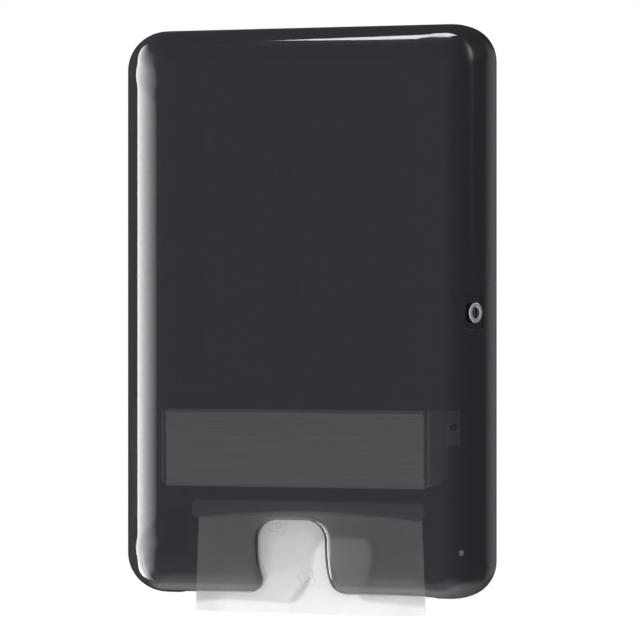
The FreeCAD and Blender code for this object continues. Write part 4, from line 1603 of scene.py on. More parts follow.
@dataclass
class RepeatTrees:
    """Geometry trees: one sets pieces on points, the other piles them up."""

    on_points: Tree = field(init=False)
    in_pile: Tree = field(init=False)

    def __post_init__(self) -> None:
        """Build the trees."""
        self.on_points = self._on_points()
        self.in_pile = self._in_pile()

    @staticmethod
    def _start(name: str) -> tuple[Tree, Graph]:
        """Make a tree with the sockets that both share."""
        tree = bpy.data.node_groups.new(name, "GeometryNodeTree")
        graph = Graph(tree)
        node_input(tree, "Geometry", "NodeSocketGeometry")
        node_input(tree, "Piece", "NodeSocketObject")
        node_input(tree, "Material", "NodeSocketMaterial")
        node_input(tree, "Seed", "NodeSocketInt", 3)
        tree.interface.new_socket("Geometry", in_out="OUTPUT", socket_type="NodeSocketGeometry")
        return tree, graph

    @staticmethod
    def _random(graph: Graph, low: Value, high: Value, seed: Socket) -> Socket:
        """Return a random number for each point."""
        values = {2: low, 3: high, "Seed": seed}
        return graph.add("FunctionNodeRandomValue", values, data_type="FLOAT").outputs[1]

    @staticmethod
    def _finish(graph: Graph, source: Node, points: Socket, turn: Socket) -> None:
        """Set the piece on points, and end a tree in real geometry with a material."""
        piece = graph.add("GeometryNodeObjectInfo", {0: source.outputs["Piece"]})
        copies = graph.add(
            "GeometryNodeInstanceOnPoints",
            {"Points": points, "Instance": piece.outputs["Geometry"], "Rotation": turn},
        )
        real = graph.add("GeometryNodeRealizeInstances", {0: copies.outputs[0]})
        painted = graph.add(
            "GeometryNodeSetMaterial",
            {"Geometry": real.outputs[0], "Material": source.outputs["Material"]},
        )
        graph.add("NodeGroupOutput", {0: painted.outputs[0]})

    def _on_points(self) -> Tree:
        """Set a piece on each point, turned by the point's own angles and at random."""
        tree, graph = self._start("pieces_on_points")
        source = graph.add("NodeGroupInput")
        aim = graph.add(
            "GeometryNodeInputNamedAttribute", {"Name": "aim"}, data_type="FLOAT_VECTOR"
        )
        turn = self._random(graph, 0.0, math.pi, source.outputs["Seed"])
        own = graph.add("FunctionNodeAxisAngleToRotation", {0: (0, 0, 1), 1: turn})
        way = graph.add("FunctionNodeEulerToRotation", {0: aim.outputs[0]})
        turns = {0: way.outputs[0], 1: own.outputs[0]}
        both = graph.add("FunctionNodeRotateRotation", turns, rotation_space="LOCAL")
        self._finish(graph, source, source.outputs["Geometry"], both.outputs[0])
        return tree

    def _in_pile(self) -> Tree:
        """Pile a piece up along Z, each copy a little askew."""
        tree, graph = self._start("pieces_in_pile")
        node_input(tree, "Count", "NodeSocketInt", 10)
        node_input(tree, "Pitch", "NodeSocketFloat", 0.004)
        node_input(tree, "Drift", "NodeSocketFloat", 0.0005)
        node_input(tree, "Skew", "NodeSocketFloat", 0.004)
        source = graph.add("NodeGroupInput")
        rise = graph.add("ShaderNodeCombineXYZ", {2: source.outputs["Pitch"]})
        line = graph.add(
            "GeometryNodeMeshLine",
            {"Count": source.outputs["Count"], "Offset": rise.outputs[0]},
        )
        drifts = []
        for index, name in enumerate(("Drift", "Drift", "Skew")):
            low = graph.times(source.outputs[name], -1.0)
            seed = graph.plus(source.outputs["Seed"], float(index))
            drifts.append(self._random(graph, low, source.outputs[name], seed))
        shift = graph.add("ShaderNodeCombineXYZ", {0: drifts[0], 1: drifts[1]})
        moved = graph.add(
            "GeometryNodeSetPosition",
            {"Geometry": line.outputs[0], "Offset": shift.outputs[0]},
        )
        turned = graph.add("FunctionNodeAxisAngleToRotation", {0: (0, 0, 1), 1: drifts[2]})
        self._finish(graph, source, moved.outputs[0], turned.outputs[0])
        return tree


@dataclass
class Screws:
    """Pan-head screws set where the frame has them."""

    trees: RepeatTrees
    palette: Palette
    head_radius: float = 3.0 * MM
    head_height: float = 1.8 * MM
    shank_radius: float = 1.5 * MM
    slot_width: float = 1.0 * MM
    slot_depth: float = 0.9 * MM
    thread_pitch: float = 0.5 * MM
    thread_root: float = 0.86
    head_edge: float = 0.62
    head_flat: float = 0.86
    head_steps: int = 5
    steps: int = 28
    seed: int = 11

    def pattern(self, shank: float) -> Piece:
        """Make one screw with its head up and its seat at the origin."""
        radius, height, pitch = self.head_radius, self.head_height, self.thread_pitch
        thread, root = self.shank_radius, self.shank_radius * self.thread_root
        outline = [(0.0, -shank), (thread * 0.7, -shank)]
        for turn in range(int(shank / pitch) - 1):
            z = -shank + 0.4 * MM + pitch * turn
            outline += [(thread, z), (root, z + pitch / 2)]
        outline += [(thread, -0.1 * MM), (thread, 0.0), (radius, 0.0)]
        edge = self.head_edge * height
        for step in range(self.head_steps + 1):
            turn = math.pi / 2 * step / self.head_steps
            rise = height - edge + edge * math.sin(turn) * self.head_flat
            outline.append((radius - edge * (1 - math.cos(turn)), rise))
        outline += [(radius * 0.3, height - 0.02 * MM), (0.0, height)]
        screw = new_piece("screw_pattern", lathe("screw_pattern", outline, self.steps))
        slot = bmesh.new()
        add_block(slot, (0.0, 0.0, height), (radius * 3, self.slot_width, 2 * self.slot_depth))
        screw.data = cut_away(screw, slot)
        shade(screw.data, 32.0)
        return screw

    def place(self, name: str, groups: dict[str, Euler], frame: dict, body: str) -> None:
        """Set screws for frame pieces of one body, in place of theirs.

        Args:
            name: The new piece's name.
            groups: The frame pieces and the turn that aims a screw the way theirs do.
            frame: The loaded frame.
            body: The body they move with.
        """
        points, aims, shanks = [], [], []
        for node_name, aim in groups.items():
            way = Vector((0.0, 0.0, 1.0))
            way.rotate(aim)
            for low, high in islands(frame["nodes"][node_name]):
                middle = Vector((low + high) / 2)
                size = Vector(high - low)
                reach = abs(size.dot(way))
                points.append(tuple(middle + way * (reach / 2 - self.head_height)))
                shanks.append(reach - self.head_height)
                aims.append(tuple(aim))
        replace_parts(self.scatter(name, points, aims, min(shanks), body), *groups)

    def scatter(
        self, name: str, points: list[Triple], aims: list[Triple], shank: float, body: str
    ) -> Piece:
        """Set a screw on each of some points and tie them to a body.

        Args:
            name: The new piece's name.
            points: Where their heads are seated.
            aims: Each screw's turn, as Euler angles.
            shank: How long they are under the head.
            body: The body they move with.

        Returns:
            The piece.
        """
        values = {
            "Piece": self.pattern(shank),
            "Material": self.palette.made["black_zinc"],
            "Seed": self.seed,
        }
        piece = run_tree(name, points, self.trees.on_points, values, aim=aims)
        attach(piece, body)
        log.info("%s: %d screws", name, len(points))
        return piece


# Towels --------------------


@dataclass
class Towels:
    """The pile of folded towels and the one that hangs from the throat."""

    trees: RepeatTrees
    palette: Palette
    plies: int = 4
    ply_fill: float = 0.94
    ply_sag: float = 0.3 * MM
    sag_turns: float = 41.0
    count: int = 66
    pile_fill: float = 0.97
    top_fill: float = 0.96
    drift: float = 0.5 * MM
    skew: float = 0.0015
    seed: int = 5
    sheet_thickness: float = 0.5 * MM
    sheet_depth: float = 29 * MM
    half_top: float = 93 * MM
    half_bottom: float = 97 * MM
    left_wave: Pair = (0.62, 9 * MM)
    right_wave: Pair = (0.62, 12.5 * MM)
    crease_depth: float = 0.8 * MM
    tuck_at: float = 0.06
    tuck_depth: float = 2.5 * MM
    tuck_turn: Pair = (0.62, 0.95)
    tuck_slant: float = 0.24
    wave_start: float = 0.12
    wave_full: float = 0.7
    grid_step: float = 1.1 * MM

    def folded(self, width: float, depth: float, height: float) -> Piece:
        """Make one folded towel: a flat strip that runs to and fro, lying at the origin.

        Args:
            width: Its size along X.
            depth: Its size along Y.
            height: Its height.

        Returns:
            The towel.
        """
        ply = height / self.plies
        thickness = ply * self.ply_fill
        bend = ply / 2
        half = depth / 2 - bend - thickness / 2
        centre: list[Pair] = []
        for index in range(self.plies):
            z = ply * (index + 0.5)
            way = 1 if index % 2 == 0 else -1
            for share in (-1.0, -0.5, 0.0, 0.5, 1.0):
                centre.append((way * share * half, z))
            if index < self.plies - 1:
                for step in (1, 2, 3):
                    turn = math.pi * step / 4
                    y = way * (half + bend * math.sin(turn))
                    centre.append((y, z + bend * (1 - math.cos(turn))))
        line = np.array(centre)
        tangent = np.gradient(line, axis=0)
        tangent /= np.linalg.norm(tangent, axis=1)[:, None]
        normal = np.stack((-tangent[:, 1], tangent[:, 0]), axis=1)
        upper, under = line + normal * thickness / 2, line - normal * thickness / 2
        loop = np.concatenate((upper, under[::-1]))
        build = bmesh.new()
        rings = []
        for x in spread(-width / 2, width / 2, width / 8):
            sag = self.ply_sag * math.sin(x * self.sag_turns)
            rings.append([build.verts.new((x, y + sag, z)) for y, z in loop])
        count = len(loop)
        for left, right in zip(rings, rings[1:]):
            for i in range(count):
                j = (i + 1) % count
                build.faces.new((left[i], left[j], right[j], right[i]))
        for ring, way in ((rings[0], -1), (rings[-1], 1)):
            for i in range(count // 2 - 1):
                corners = (ring[i], ring[i + 1], ring[count - 2 - i], ring[count - 1 - i])
                build.faces.new(corners[::way])
        mesh = finished(build, bpy.data.meshes.new("folded_towel"), True)
        shade(mesh, 50.0)
        return new_piece("folded_towel", mesh)

    def stack(self) -> Piece:
        """Pile the folded towels up in their magazine."""
        low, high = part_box("towel_stack")
        size = Vector(high) - Vector(low)
        pitch = size.z / (self.count - 1 + self.top_fill)
        wide, deep = size.x - 2 * self.drift, size.y - 3 * self.drift
        values = {
            "Piece": self.folded(wide, deep, pitch * self.pile_fill),
            "Material": self.palette.made["towel_folded"],
            "Seed": self.seed,
            "Count": self.count,
            "Pitch": pitch,
            "Drift": self.drift,
            "Skew": self.skew,
        }
        piece = run_tree("towel_pile", [(0.0, 0.0, 0.0)], self.trees.in_pile, values)
        start = Vector(((low[0] + high[0]) / 2, (low[1] + high[1]) / 2, low[2]))
        for vert in piece.data.vertices:
            vert.co += start
        return piece

    def depth_at(self, across: float, share: float) -> float:
        """Depth of the hanging sheet's middle at a share across and a share down.

        Args:
            across: From -1 at the left to 1 at the right.
            share: From 0 at the top to 1 at the foot.

        Returns:
            The depth.
        """
        ramp = (share - self.wave_start) / (self.wave_full - self.wave_start)
        ramp = min(1.0, max(0.0, ramp))
        swing = ramp * ramp * (3 - 2 * ramp)
        start, end = self.tuck_turn
        low = min(1.0, max(0.0, (share - start) / (end - start)))
        tuck = self.tuck_at - self.tuck_slant * low * low * (3 - 2 * low)
        side = 1.0 if across > tuck else -1.0
        away = (across - tuck) / (side - tuck)
        peak, height = self.right_wave if side > 0 else self.left_wave
        if away < peak:
            rise = 1 - (1 - away / peak) ** 1.6
            wave = self.tuck_depth + (height - self.tuck_depth) * rise
        else:
            wave = height * math.cos(math.pi / 2 * (away - peak) / (1 - peak)) ** 1.4
        seed = Vector((across * 3.1, share * 2.3, 4.7))
        crease = noise.noise(seed) + 0.5 * noise.noise(seed * 2.7)
        room = 1 - across * across
        return self.sheet_depth + swing * (wave + self.crease_depth * crease * room)

    def hanging(self) -> tuple[Piece, Pair]:
        """Make the towel that hangs out of the throat, and say how large it lies flat.

        Returns:
            The towel and its flat size.
        """
        low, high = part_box("hanging_towel")
        top, bottom = high[2], low[2]
        across_steps = round(2 * self.half_bottom / self.grid_step)
        down_steps = round((top - bottom) / self.grid_step)
        front = np.zeros((down_steps + 1, across_steps + 1, 3))
        for j in range(down_steps + 1):
            share = j / down_steps
            half = self.half_top + (self.half_bottom - self.half_top) * share
            for i in range(across_steps + 1):
                across = 2 * i / across_steps - 1
                depth, z = self.depth_at(across, share), top + (bottom - top) * share
                front[j, i] = (half * across, -depth, z)
        down = np.gradient(front, axis=0)
        right = np.gradient(front, axis=1)
        normal = np.cross(down, right)
        normal /= np.linalg.norm(normal, axis=2)[:, :, None]
        width = float(np.linalg.norm(np.diff(front, axis=1), axis=2).sum(1).mean())
        length = float(np.linalg.norm(np.diff(front, axis=0), axis=2).sum(0).mean())
        half_wall = self.sheet_thickness / 2
        sides = (front + normal * half_wall, front - normal * half_wall)
        mesh = bpy.data.meshes.new("hanging_sheet")
        rows, columns = down_steps + 1, across_steps + 1
        places = np.concatenate([side.reshape(-1, 3) for side in sides])
        faces = []
        offset = rows * columns
        for j in range(rows - 1):
            for i in range(columns - 1):
                a = j * columns + i
                quad = (a, a + columns, a + columns + 1, a + 1)
                faces += [quad, tuple(corner + offset for corner in reversed(quad))]
        rim = []
        for a in range(columns - 1):
            b = (rows - 1) * columns + a
            rim += [(a, a + 1), (b + 1, b)]
        for a in range(0, (rows - 1) * columns, columns):
            b = a + columns - 1
            rim += [(a + columns, a), (b, b + columns)]
        faces += [(a, b, b + offset, a + offset) for a, b in rim]
        mesh.from_pydata(places.tolist(), [], faces)
        finished(opened(mesh), mesh, True)
        flat = mesh.uv_layers.new(name="flat")
        for loop in mesh.loops:
            number = loop.vertex_index % offset
            j, i = divmod(number, columns)
            flat.data[loop.index].uv = (i * width / across_steps, j * length / down_steps)
        shade(mesh, 60.0)
        return new_piece("hanging_sheet", mesh), (width, length)

    def build(self) -> None:
        """Make the towels and tie them to the housing."""
        pile = self.stack()
        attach(pile, "housing")
        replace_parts(pile, "towel_stack")
        sheet, flat = self.hanging()
        self.palette.hand_over(sheet, "housing", "hanging_towel", "towel_pressed")
        log.info("towels: pile of %d, sheet %.3f by %.3f", self.count, *flat)


# Lock --------------------


@dataclass
class Lock:
    """The key lock: bezel with its barrel, and the plug that the key turns."""

    frame: LockFrame
    palette: Palette
    bezel_radius: float = 8.45 * MM
    bezel_height: float = 4.5 * MM
    barrel_radius: float = 6.0 * MM
    barrel_length: float = 16.0 * MM
    bore_radius: float = 4.75 * MM
    plug_radius: float = 4.7 * MM
    plug_top: float = 4.1 * MM
    keyway: Pair = (1.5 * MM, 7.4 * MM)
    keyway_depth: float = 3.0 * MM
    ward_shift: float = 0.8 * MM
    thread_pitch: float = 0.8 * MM
    thread_depth: float = 0.35 * MM
    bezel_round: float = 1.3 * MM
    bezel_steps: int = 6
    tail: float = 6.0 * MM
    tail_end: float = 18.2 * MM

    def _set(self, mesh: Mesh, name: str) -> Piece:
        """Move a mesh from the lock's axes to the scene's and make it a piece."""
        for vert in mesh.vertices:
            vert.co = to_scene(self.frame.place(*vert.co))
        shade(finished(opened(mesh), mesh, True), 32.0)
        return new_piece(name, mesh)

    def barrel(self) -> Piece:
        """Turn the bezel and barrel, with a domed bezel and a threaded barrel."""
        top, out = self.bezel_height, self.bezel_radius
        thread, length, bore = self.barrel_radius, self.barrel_length, self.bore_radius
        outline = [(bore, -length), (thread - 0.4 * MM, -length)]
        z = -length + 0.4 * MM
        while z < -self.thread_pitch:
            outline += [(thread, z), (thread - self.thread_depth, z + 0.4 * MM)]
            z += self.thread_pitch
        outline += [(thread, -0.2 * MM), (thread, 0.0), (out, 0.0)]
        for step in range(self.bezel_steps + 1):
            turn = math.pi / 2 * step / self.bezel_steps
            reach = out - self.bezel_round * (1 - math.cos(turn))
            outline.append((reach, top - self.bezel_round * (1 - math.sin(turn))))
        outline += [(bore + 0.9 * MM, top), (bore + 0.35 * MM, top - 0.12 * MM)]
        outline.append((bore, top - 0.5 * MM))
        return self._set(lathe("lock_bezel", outline, 72), "lock_bezel")

    def plug(self) -> Piece:
        """Turn the plug and cut its keyway and its square tail."""
        radius, top = self.plug_radius, self.plug_top
        outline = [(0.0, -self.tail_end), (self.tail / 2, -self.tail_end)]
        outline += [(self.tail / 2, -self.barrel_length), (radius, -self.barrel_length)]
        outline += [(radius, top - 0.4 * MM), (radius - 0.12 * MM, top - 0.12 * MM)]
        outline += [(radius - 0.4 * MM, top), (0.0, top)]
        piece = new_piece("key_plug_turned", lathe("key_plug_turned", outline, 64))
        wide, tall = self.keyway
        deep = 2 * self.keyway_depth
        cutter = bmesh.new()
        add_block(cutter, (0.0, 0.0, top), (wide, tall, deep))
        add_block(cutter, (self.ward_shift, 0.0, top), (wide * 0.6, tall * 0.3, deep))
        result = cut_away(piece, cutter, True)
        bpy.data.objects.remove(piece)
        return self._set(result, "key_plug_face")

    def build(self) -> None:
        """Make the lock's two shown pieces."""
        self.palette.hand_over(self.barrel(), "cover", "lock_barrel", "lock_chrome")
        self.palette.hand_over(self.plug(), "key_plug", "lock_plug", "lock_worn")


# Studio --------------------


@dataclass(frozen=True)
class Mirrored:
    """A direction that gloss mirrors: its parts, and its azimuth and rise in degrees."""

    x: Socket
    forward: Socket
    z: Socket
    azimuth: Socket
    rise: Socket


@dataclass(frozen=True)
class Surround:
    """The plain surround: pale ahead and below, darker to the sides and behind.

    The levels stand at angles from straight ahead, in degrees: side_levels from the left
    to the right, and end_levels from below to above.
    """

    side_levels: tuple[Pair, ...] = (
        (-180, 0.05), (-156, 0.06), (-141, 0.08), (-132, 0.137), (-119, 0.238), (-109, 0.35),
        (-100, 0.42), (-90, 0.6), (-75, 0.648), (0, 0.648), (45, 0.66), (60, 0.576),
        (72, 0.455), (84, 0.372), (96, 0.344), (110, 0.266), (125, 0.186), (135, 0.145),
        (144, 0.107), (152, 0.09), (155.5, 0.068), (159.5, 0.185), (164, 0.26), (169, 0.25),
        (174, 0.1), (180, 0.05),
    )  # fmt: skip
    end_levels: tuple[Pair, ...] = (
        (-180, 0.04), (-167, 0.05), (-155, 0.22), (-145, 0.45), (-137, 0.67), (-130, 0.88),
        (-120, 1.3), (-112, 1.3), (-104, 0.98), (-92, 1.08), (-85, 1), (-79, 0.639),
        (-60, 0.666), (0, 0.666), (44, 0.63), (52, 0.576), (63, 0.567), (75, 0.504), (90, 0.432),
        (105, 0.333), (121, 0.22), (132, 0.15), (146, 0.09), (167, 0.03),
    )  # fmt: skip
    over_turn: Pair = (60.0, 20.0)
    under_turn: Pair = (44.0, 22.0)
    highest: float = 2.0

    def profile(self, graph: Graph, degrees: Socket, stops: Sequence[Pair]) -> Socket:
        """Return a brightness that follows a signed angle from straight ahead."""
        share = graph.scaled(degrees, 1 / 360, 0.5)
        ramp = graph.add("ShaderNodeValToRGB", {0: share})
        elements = ramp.color_ramp.elements
        elements.remove(elements[-1])
        for index, (angle, level) in enumerate(stops):
            position = (angle + 180) / 360
            element = elements[0] if index == 0 else elements.new(position)
            element.position = position
            element.color = (*[level / self.highest] * 3, 1.0)
        parts = graph.add("ShaderNodeSeparateColor", {0: ramp.outputs[0]})
        return graph.times(parts.outputs[0], self.highest)

    def light(self, graph: Graph, way: Mirrored) -> Socket:
        """Return the surround's brightness."""
        ahead = graph.math("ARCCOSINE", graph.math("MINIMUM", way.forward, 0.9999))
        degrees = graph.times(ahead, DEGREES)
        across = graph.times(degrees, graph.math("SIGN", way.x))
        upward = graph.times(degrees, graph.math("SIGN", way.z))
        sides = self.profile(graph, across, self.side_levels)
        ends = self.profile(graph, upward, self.end_levels)
        rest = graph.minus(1.0, graph.times(way.forward, way.forward))
        radial = graph.math("SQRT", graph.math("MAXIMUM", rest, 1e-6))
        lean = graph.math("DIVIDE", graph.math("ABSOLUTE", way.x), radial)
        turn = graph.times(graph.math("ARCSINE", lean), DEGREES)
        over, under = graph.step(turn, *self.over_turn), graph.step(turn, *self.under_turn)
        below = graph.math("LESS_THAN", way.z, 0.0)
        share = graph.add("ShaderNodeMix", {0: below, 2: over, 3: under}).outputs[0]
        return graph.add("ShaderNodeMix", {0: share, 2: sides, 3: ends}).outputs[0]


@dataclass(frozen=True)
class Softbox:
    """The tall soft panel on the left, brightest at its far edge, with angles in degrees."""

    level: float = 12.5
    fall: float = 1.1
    far_edge: float = -94.0
    far_reach: float = -23.0
    far_rise: Pair = (23.0, 38.0)
    near_edge: float = -41.0
    near_slope: float = -0.92
    near_rise: float = 18.0
    top: Pair = (46.0, 18.0)
    foot: Pair = (50.0, 12.0)

    def light(self, graph: Graph, way: Mirrored) -> Socket:
        """Return the panel's brightness."""
        steep = graph.math("ABSOLUTE", way.rise)
        far = graph.scaled(graph.step(steep, *self.far_rise), self.far_reach, self.far_edge)
        beyond = graph.math("MAXIMUM", graph.minus(steep, self.near_rise), 0.0)
        near = graph.scaled(beyond, self.near_slope, self.near_edge)
        share = graph.math("DIVIDE", graph.minus(way.azimuth, far), graph.minus(near, far))
        sides = graph.times(graph.step(share, -0.02, 0.03), graph.step(share, 1.06, 0.97))
        rest = graph.math("MAXIMUM", graph.minus(1.0, share), 0.0)
        level = graph.scaled(graph.math("POWER", rest, self.fall), self.level, 1.0)
        top = graph.times(graph.minus(self.top[0], way.rise), 1 / self.top[1], clamp=True)
        foot = graph.times(graph.plus(way.rise, self.foot[0]), 1 / self.foot[1], clamp=True)
        return graph.times(graph.times(sides, graph.times(top, foot)), level)


@dataclass(frozen=True)
class StripLamp:
    """The narrow lamp overhead, a bent band that tapers towards the left.

    Each edge has its height in degrees and its bends: the side that a bend is felt on, its
    place and its slope.
    """

    level: float = 11.0
    lower: float = 90.0
    lower_bends: tuple[Triple, ...] = (
        (-1.0, -0.02, 27.0), (-1.0, -0.205, 123.0), (1.0, 0.22, 60.0),
    )  # fmt: skip
    upper: float = 102.0
    upper_bends: tuple[Triple, ...] = (
        (-1.0, -0.06, 45.0), (-1.0, -0.185, -175.0), (1.0, -0.05, 15.0), (1.0, 0.12, 55.0),
    )  # fmt: skip
    right_end: Pair = (0.395, 0.36)
    left_end: Pair = (-0.246, -0.235)

    def edge(self, graph: Graph, x: Socket, height: float, bends: Sequence[Triple]) -> Socket:
        """Return one edge of the band.

        Args:
            graph: The graph that gets the nodes.
            x: The direction's part to the right.
            height: The edge's height between the bends.
            bends: The bends.

        Returns:
            The height.
        """
        for side, place, slope in bends:
            beyond = graph.math("MAXIMUM", graph.scaled(x, side, -side * place), 0.0)
            height = graph.scaled(beyond, slope, height)
        return height

    def light(self, graph: Graph, way: Mirrored) -> Socket:
        """Return the lamp's brightness."""
        up = graph.times(graph.math("ARCTAN2", way.z, way.forward), DEGREES)
        lower = self.edge(graph, way.x, self.lower, self.lower_bends)
        upper = self.edge(graph, way.x, self.upper, self.upper_bends)
        middle = graph.times(graph.plus(lower, upper), 0.5)
        half = graph.times(graph.minus(upper, lower), 0.5)
        off = graph.math("ABSOLUTE", graph.minus(up, middle))
        shape = graph.step(graph.minus(half, off), -0.5, 0.7)
        for ends in (self.right_end, self.left_end):
            shape = graph.times(shape, graph.step(way.x, *ends))
        return graph.times(shape, self.level)


@dataclass(frozen=True)
class Glint:
    """A small far lamp on the right that lights the corner, with angles in degrees."""

    level: float = 1.5
    azimuth: float = 131.0
    rise: float = 23.0
    reach: float = 11.0

    def light(self, graph: Graph, way: Mirrored) -> Socket:
        """Return the lamp's brightness."""
        side = graph.times(graph.minus(way.azimuth, self.azimuth), 1 / self.reach)
        high = graph.times(graph.minus(way.rise, self.rise), 1 / self.reach)
        total = graph.scaled(side, side, graph.times(high, high))
        return graph.times(graph.math("EXPONENT", graph.times(total, -1.0)), self.level)


@dataclass(frozen=True)
class Lamp:
    """A soft rectangular lamp that looks at the object and isn't mirrored in it."""

    name: str
    place: Triple
    size: Pair
    power: float

    def build(self) -> None:
        """Add the lamp."""
        data = bpy.data.lights.new(self.name, "AREA")
        data.shape = "RECTANGLE"
        data.size, data.size_y = self.size
        data.energy = self.power
        lamp = bpy.data.objects.new(self.name, data)
        lamp.location = self.place
        lamp.rotation_euler = (-Vector(self.place)).to_track_quat("-Z", "Y").to_euler()
        lamp.visible_glossy = False
        bpy.context.scene.collection.objects.link(lamp)


@dataclass(frozen=True)
class Studio:
    """Camera, lamps, background and floor of a plain product picture."""

    distance: float = 2.145
    azimuth: float = math.radians(13.0)
    lens: float = 144.9
    shift: Pair = (0.0039, -0.01328)
    floor_z: float = -0.62
    floor_half: float = 1.3
    floor_tones: Pair = (0.8, 0.84)
    soft_color: Triple = (0.24, 0.245, 0.255)
    overhead: float = 3.5
    overhead_z: Pair = (0.72, 0.9)
    panels: tuple[Surround | Softbox | StripLamp | Glint, ...] = (
        Surround(), Softbox(), StripLamp(), Glint(),
    )  # fmt: skip
    lamps: tuple[Lamp, ...] = (
        Lamp("key", (-1.06, -2.2, 0.48), (0.13, 0.18), 21.0),
        Lamp("fill", (0.5, -2.4, -0.05), (0.9, 1.2), 24.0),
        Lamp("side", (2.1, -1.3, -0.1), (0.8, 1.2), 12.0),
    )

    def camera(self) -> None:
        """Set the camera where the picture was taken from."""
        data = bpy.data.cameras.new("camera")
        data.sensor_fit = "HORIZONTAL"
        data.sensor_width = 36.0
        data.lens = self.lens
        data.shift_x, data.shift_y = self.shift
        data.clip_end = 50.0
        camera = bpy.data.objects.new("camera", data)
        across, back = math.sin(self.azimuth), math.cos(self.azimuth)
        camera.location = (self.distance * across, -self.distance * back, 0.0)
        camera.rotation_euler = (math.pi / 2, 0.0, self.azimuth)
        bpy.context.scene.collection.objects.link(camera)
        bpy.context.scene.camera = camera

    def floor(self) -> None:
        """Lay the pale floor."""
        half = self.floor_half
        mesh = bpy.data.meshes.new("floor")
        corners = [(-half, -half), (half, -half), (half, half), (-half, half)]
        mesh.from_pydata([(x, y, self.floor_z) for x, y in corners], [], [(0, 1, 2, 3)])
        floor = new_piece("floor", mesh)
        material = bpy.data.materials.new("floor_pale")
        material.use_nodes = True
        graph = Graph(material.node_tree)
        low, high = self.floor_tones
        values = {0: graph.clouds(graph.place(), 6.0, 3.0), 6: (low,) * 3 + (1.0,)}
        values[7] = (high,) * 3 + (1.0,)
        tone = graph.add("ShaderNodeMix", values, data_type="RGBA").outputs[2]
        shader = graph.add("ShaderNodeBsdfPrincipled", {"Base Color": tone, "Roughness": 0.8})
        graph.add("ShaderNodeOutputMaterial", {"Surface": shader.outputs[0]})
        mesh.materials.append(material)
        floor.visible_glossy = False

    def world(self) -> None:
        """Make the background: white to the camera, a studio with soft panels to gloss."""
        world = bpy.data.worlds.new("studio")
        world.use_nodes = True
        bpy.context.scene.world = world
        graph = Graph(world.node_tree)
        place = graph.add("ShaderNodeTexCoord").outputs["Generated"]
        x, y, z = graph.add("ShaderNodeSeparateXYZ", {0: place}).outputs
        forward = graph.times(y, -1.0)
        azimuth = graph.times(graph.math("ARCTAN2", x, forward), DEGREES)
        rise = graph.times(graph.math("ARCSINE", z), DEGREES)
        way = Mirrored(x, forward, z, azimuth, rise)
        total: Value = 0.0
        for panel in self.panels:
            total = graph.plus(total, panel.light(graph, way))
        color = graph.add("ShaderNodeCombineColor", {0: total, 1: total, 2: total}).outputs[0]
        mirror = self._background(graph, color, 1.0)
        overhead = graph.scaled(graph.step(z, *self.overhead_z), self.overhead, 1.0)
        soft = self._background(graph, (*self.soft_color, 1.0), overhead)
        white = self._background(graph, (1.0, 1.0, 1.0, 1.0), 1.0)
        path = graph.add("ShaderNodeLightPath").outputs
        lit = graph.add("ShaderNodeMixShader", {0: path["Is Glossy Ray"], 1: soft, 2: mirror})
        seen = graph.plus(path["Is Camera Ray"], path["Is Transmission Ray"], clamp=True)
        final = graph.add("ShaderNodeMixShader", {0: seen, 1: lit.outputs[0], 2: white})
        graph.add("ShaderNodeOutputWorld", {"Surface": final.outputs[0]})

    @staticmethod
    def _background(graph: Graph, color: Socket | tuple[float, ...], strength: Value) -> Socket:
        """Return a background shader."""
        node = graph.add("ShaderNodeBackground", {"Color": color, "Strength": strength})
        return node.outputs[0]

    def build(self) -> None:
        """Set everything up."""
        bpy.context.scene.view_settings.view_transform = "Standard"
        self.camera()
        self.world()
        self.floor()
        for lamp in self.lamps:
            lamp.build()


# The frame's own pieces --------------------

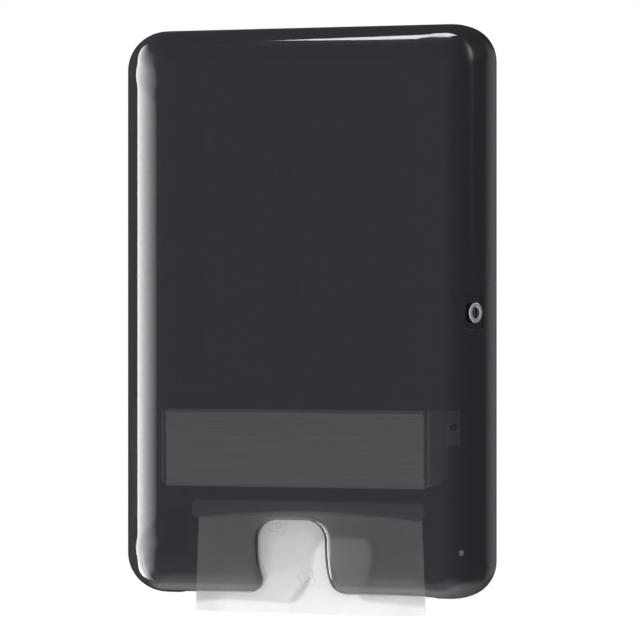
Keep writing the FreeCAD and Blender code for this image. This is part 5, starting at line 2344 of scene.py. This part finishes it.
FRAME_FINISHES = {
    "tape_foam": ("mask_tape",),
    "housing_black": ("back_housing", "throat_tray"),
    "black_zinc": (
        "hinge_bracket_upper", "hinge_bracket_lower", "hinge_pin_upper", "hinge_pin_lower",
        "hinge_leaf_upper", "hinge_leaf_lower",
    ),
    "zinc_plate": ("lock_washer", "lock_nut", "lock_cam", "strike_plate"),
    "screw_bright": ("cam_screw",),
    "guide_grey": ("side_guide_left", "side_guide_right"),
    "lip_grey": ("throat_lip",),
    "plug_pale": ("blanking_plug",),
}  # fmt: skip


def fasten(frame: dict, trees: RepeatTrees, palette: Palette) -> None:
    """Set the dispenser's own screws, and one in each wall hole.

    Args:
        frame: The loaded frame.
        trees: The geometry trees.
        palette: The finishes.
    """
    screws = Screws(trees, palette)
    outwards = Euler((math.pi / 2, 0.0, 0.0))
    housing = ("bracket_screws", "guide_screws", "tray_screws", "strike_screws")
    screws.place("housing_screws", {name: outwards for name in housing}, frame, "housing")
    sideways = Euler((0.0, math.pi / 2, 0.0))
    screws.place("leaf_screw_set", {"leaf_screws": sideways}, frame, "cover")
    wall = Screws(trees, palette, 4.6 * MM, 2.4 * MM, 2.4 * MM, 1.3 * MM, 1.2 * MM)
    holes = [(x * MM, -3 * MM, z * MM) for x in (-95, 95) for z in (-175, 175)]
    wall.scatter("wall_screws", holes, [tuple(outwards)] * len(holes), 2.8 * MM, "housing")


def main() -> None:
    """Build the looks round the frame."""
    logging.basicConfig(level=logging.INFO, format="%(name)s: %(message)s")
    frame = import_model()
    palette = Palette(Effects())
    trees = RepeatTrees()
    for finish, nodes in FRAME_FINISHES.items():
        for node in nodes:
            palette.repaint(frame["nodes"][node], finish)

    low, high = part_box("cover_shell")
    form = CoverForm(high[0], high[2], -low[1])
    joints = {joint["name"]: joint for joint in frame["record"]["behaviour"]["joints"]}
    x, y, z = joints["key_turn"]["pos_m"]
    lock_frame = LockFrame(x, -y, z)
    leaf_low, leaf_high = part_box("hinge_leaf_upper")
    mask_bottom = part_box("cover_mask")[0][2]
    cover = Cover(form, lock_frame, mask_bottom, (leaf_low[2] + leaf_high[2]) / 2)
    smoke = ("smoke_outer", "smoke_inner", "smoke_lip", "smoke_flange")
    palette.hand_over(cover.shell(), "cover", "cover_shell", *smoke)
    palette.hand_over(cover.mask(), "cover", "cover_mask", "mask_black", "mask_black")
    Lock(lock_frame, palette).build()
    Towels(trees, palette).build()
    fasten(frame, trees, palette)
    Studio().build()


if __name__ == "__main__":
    main()
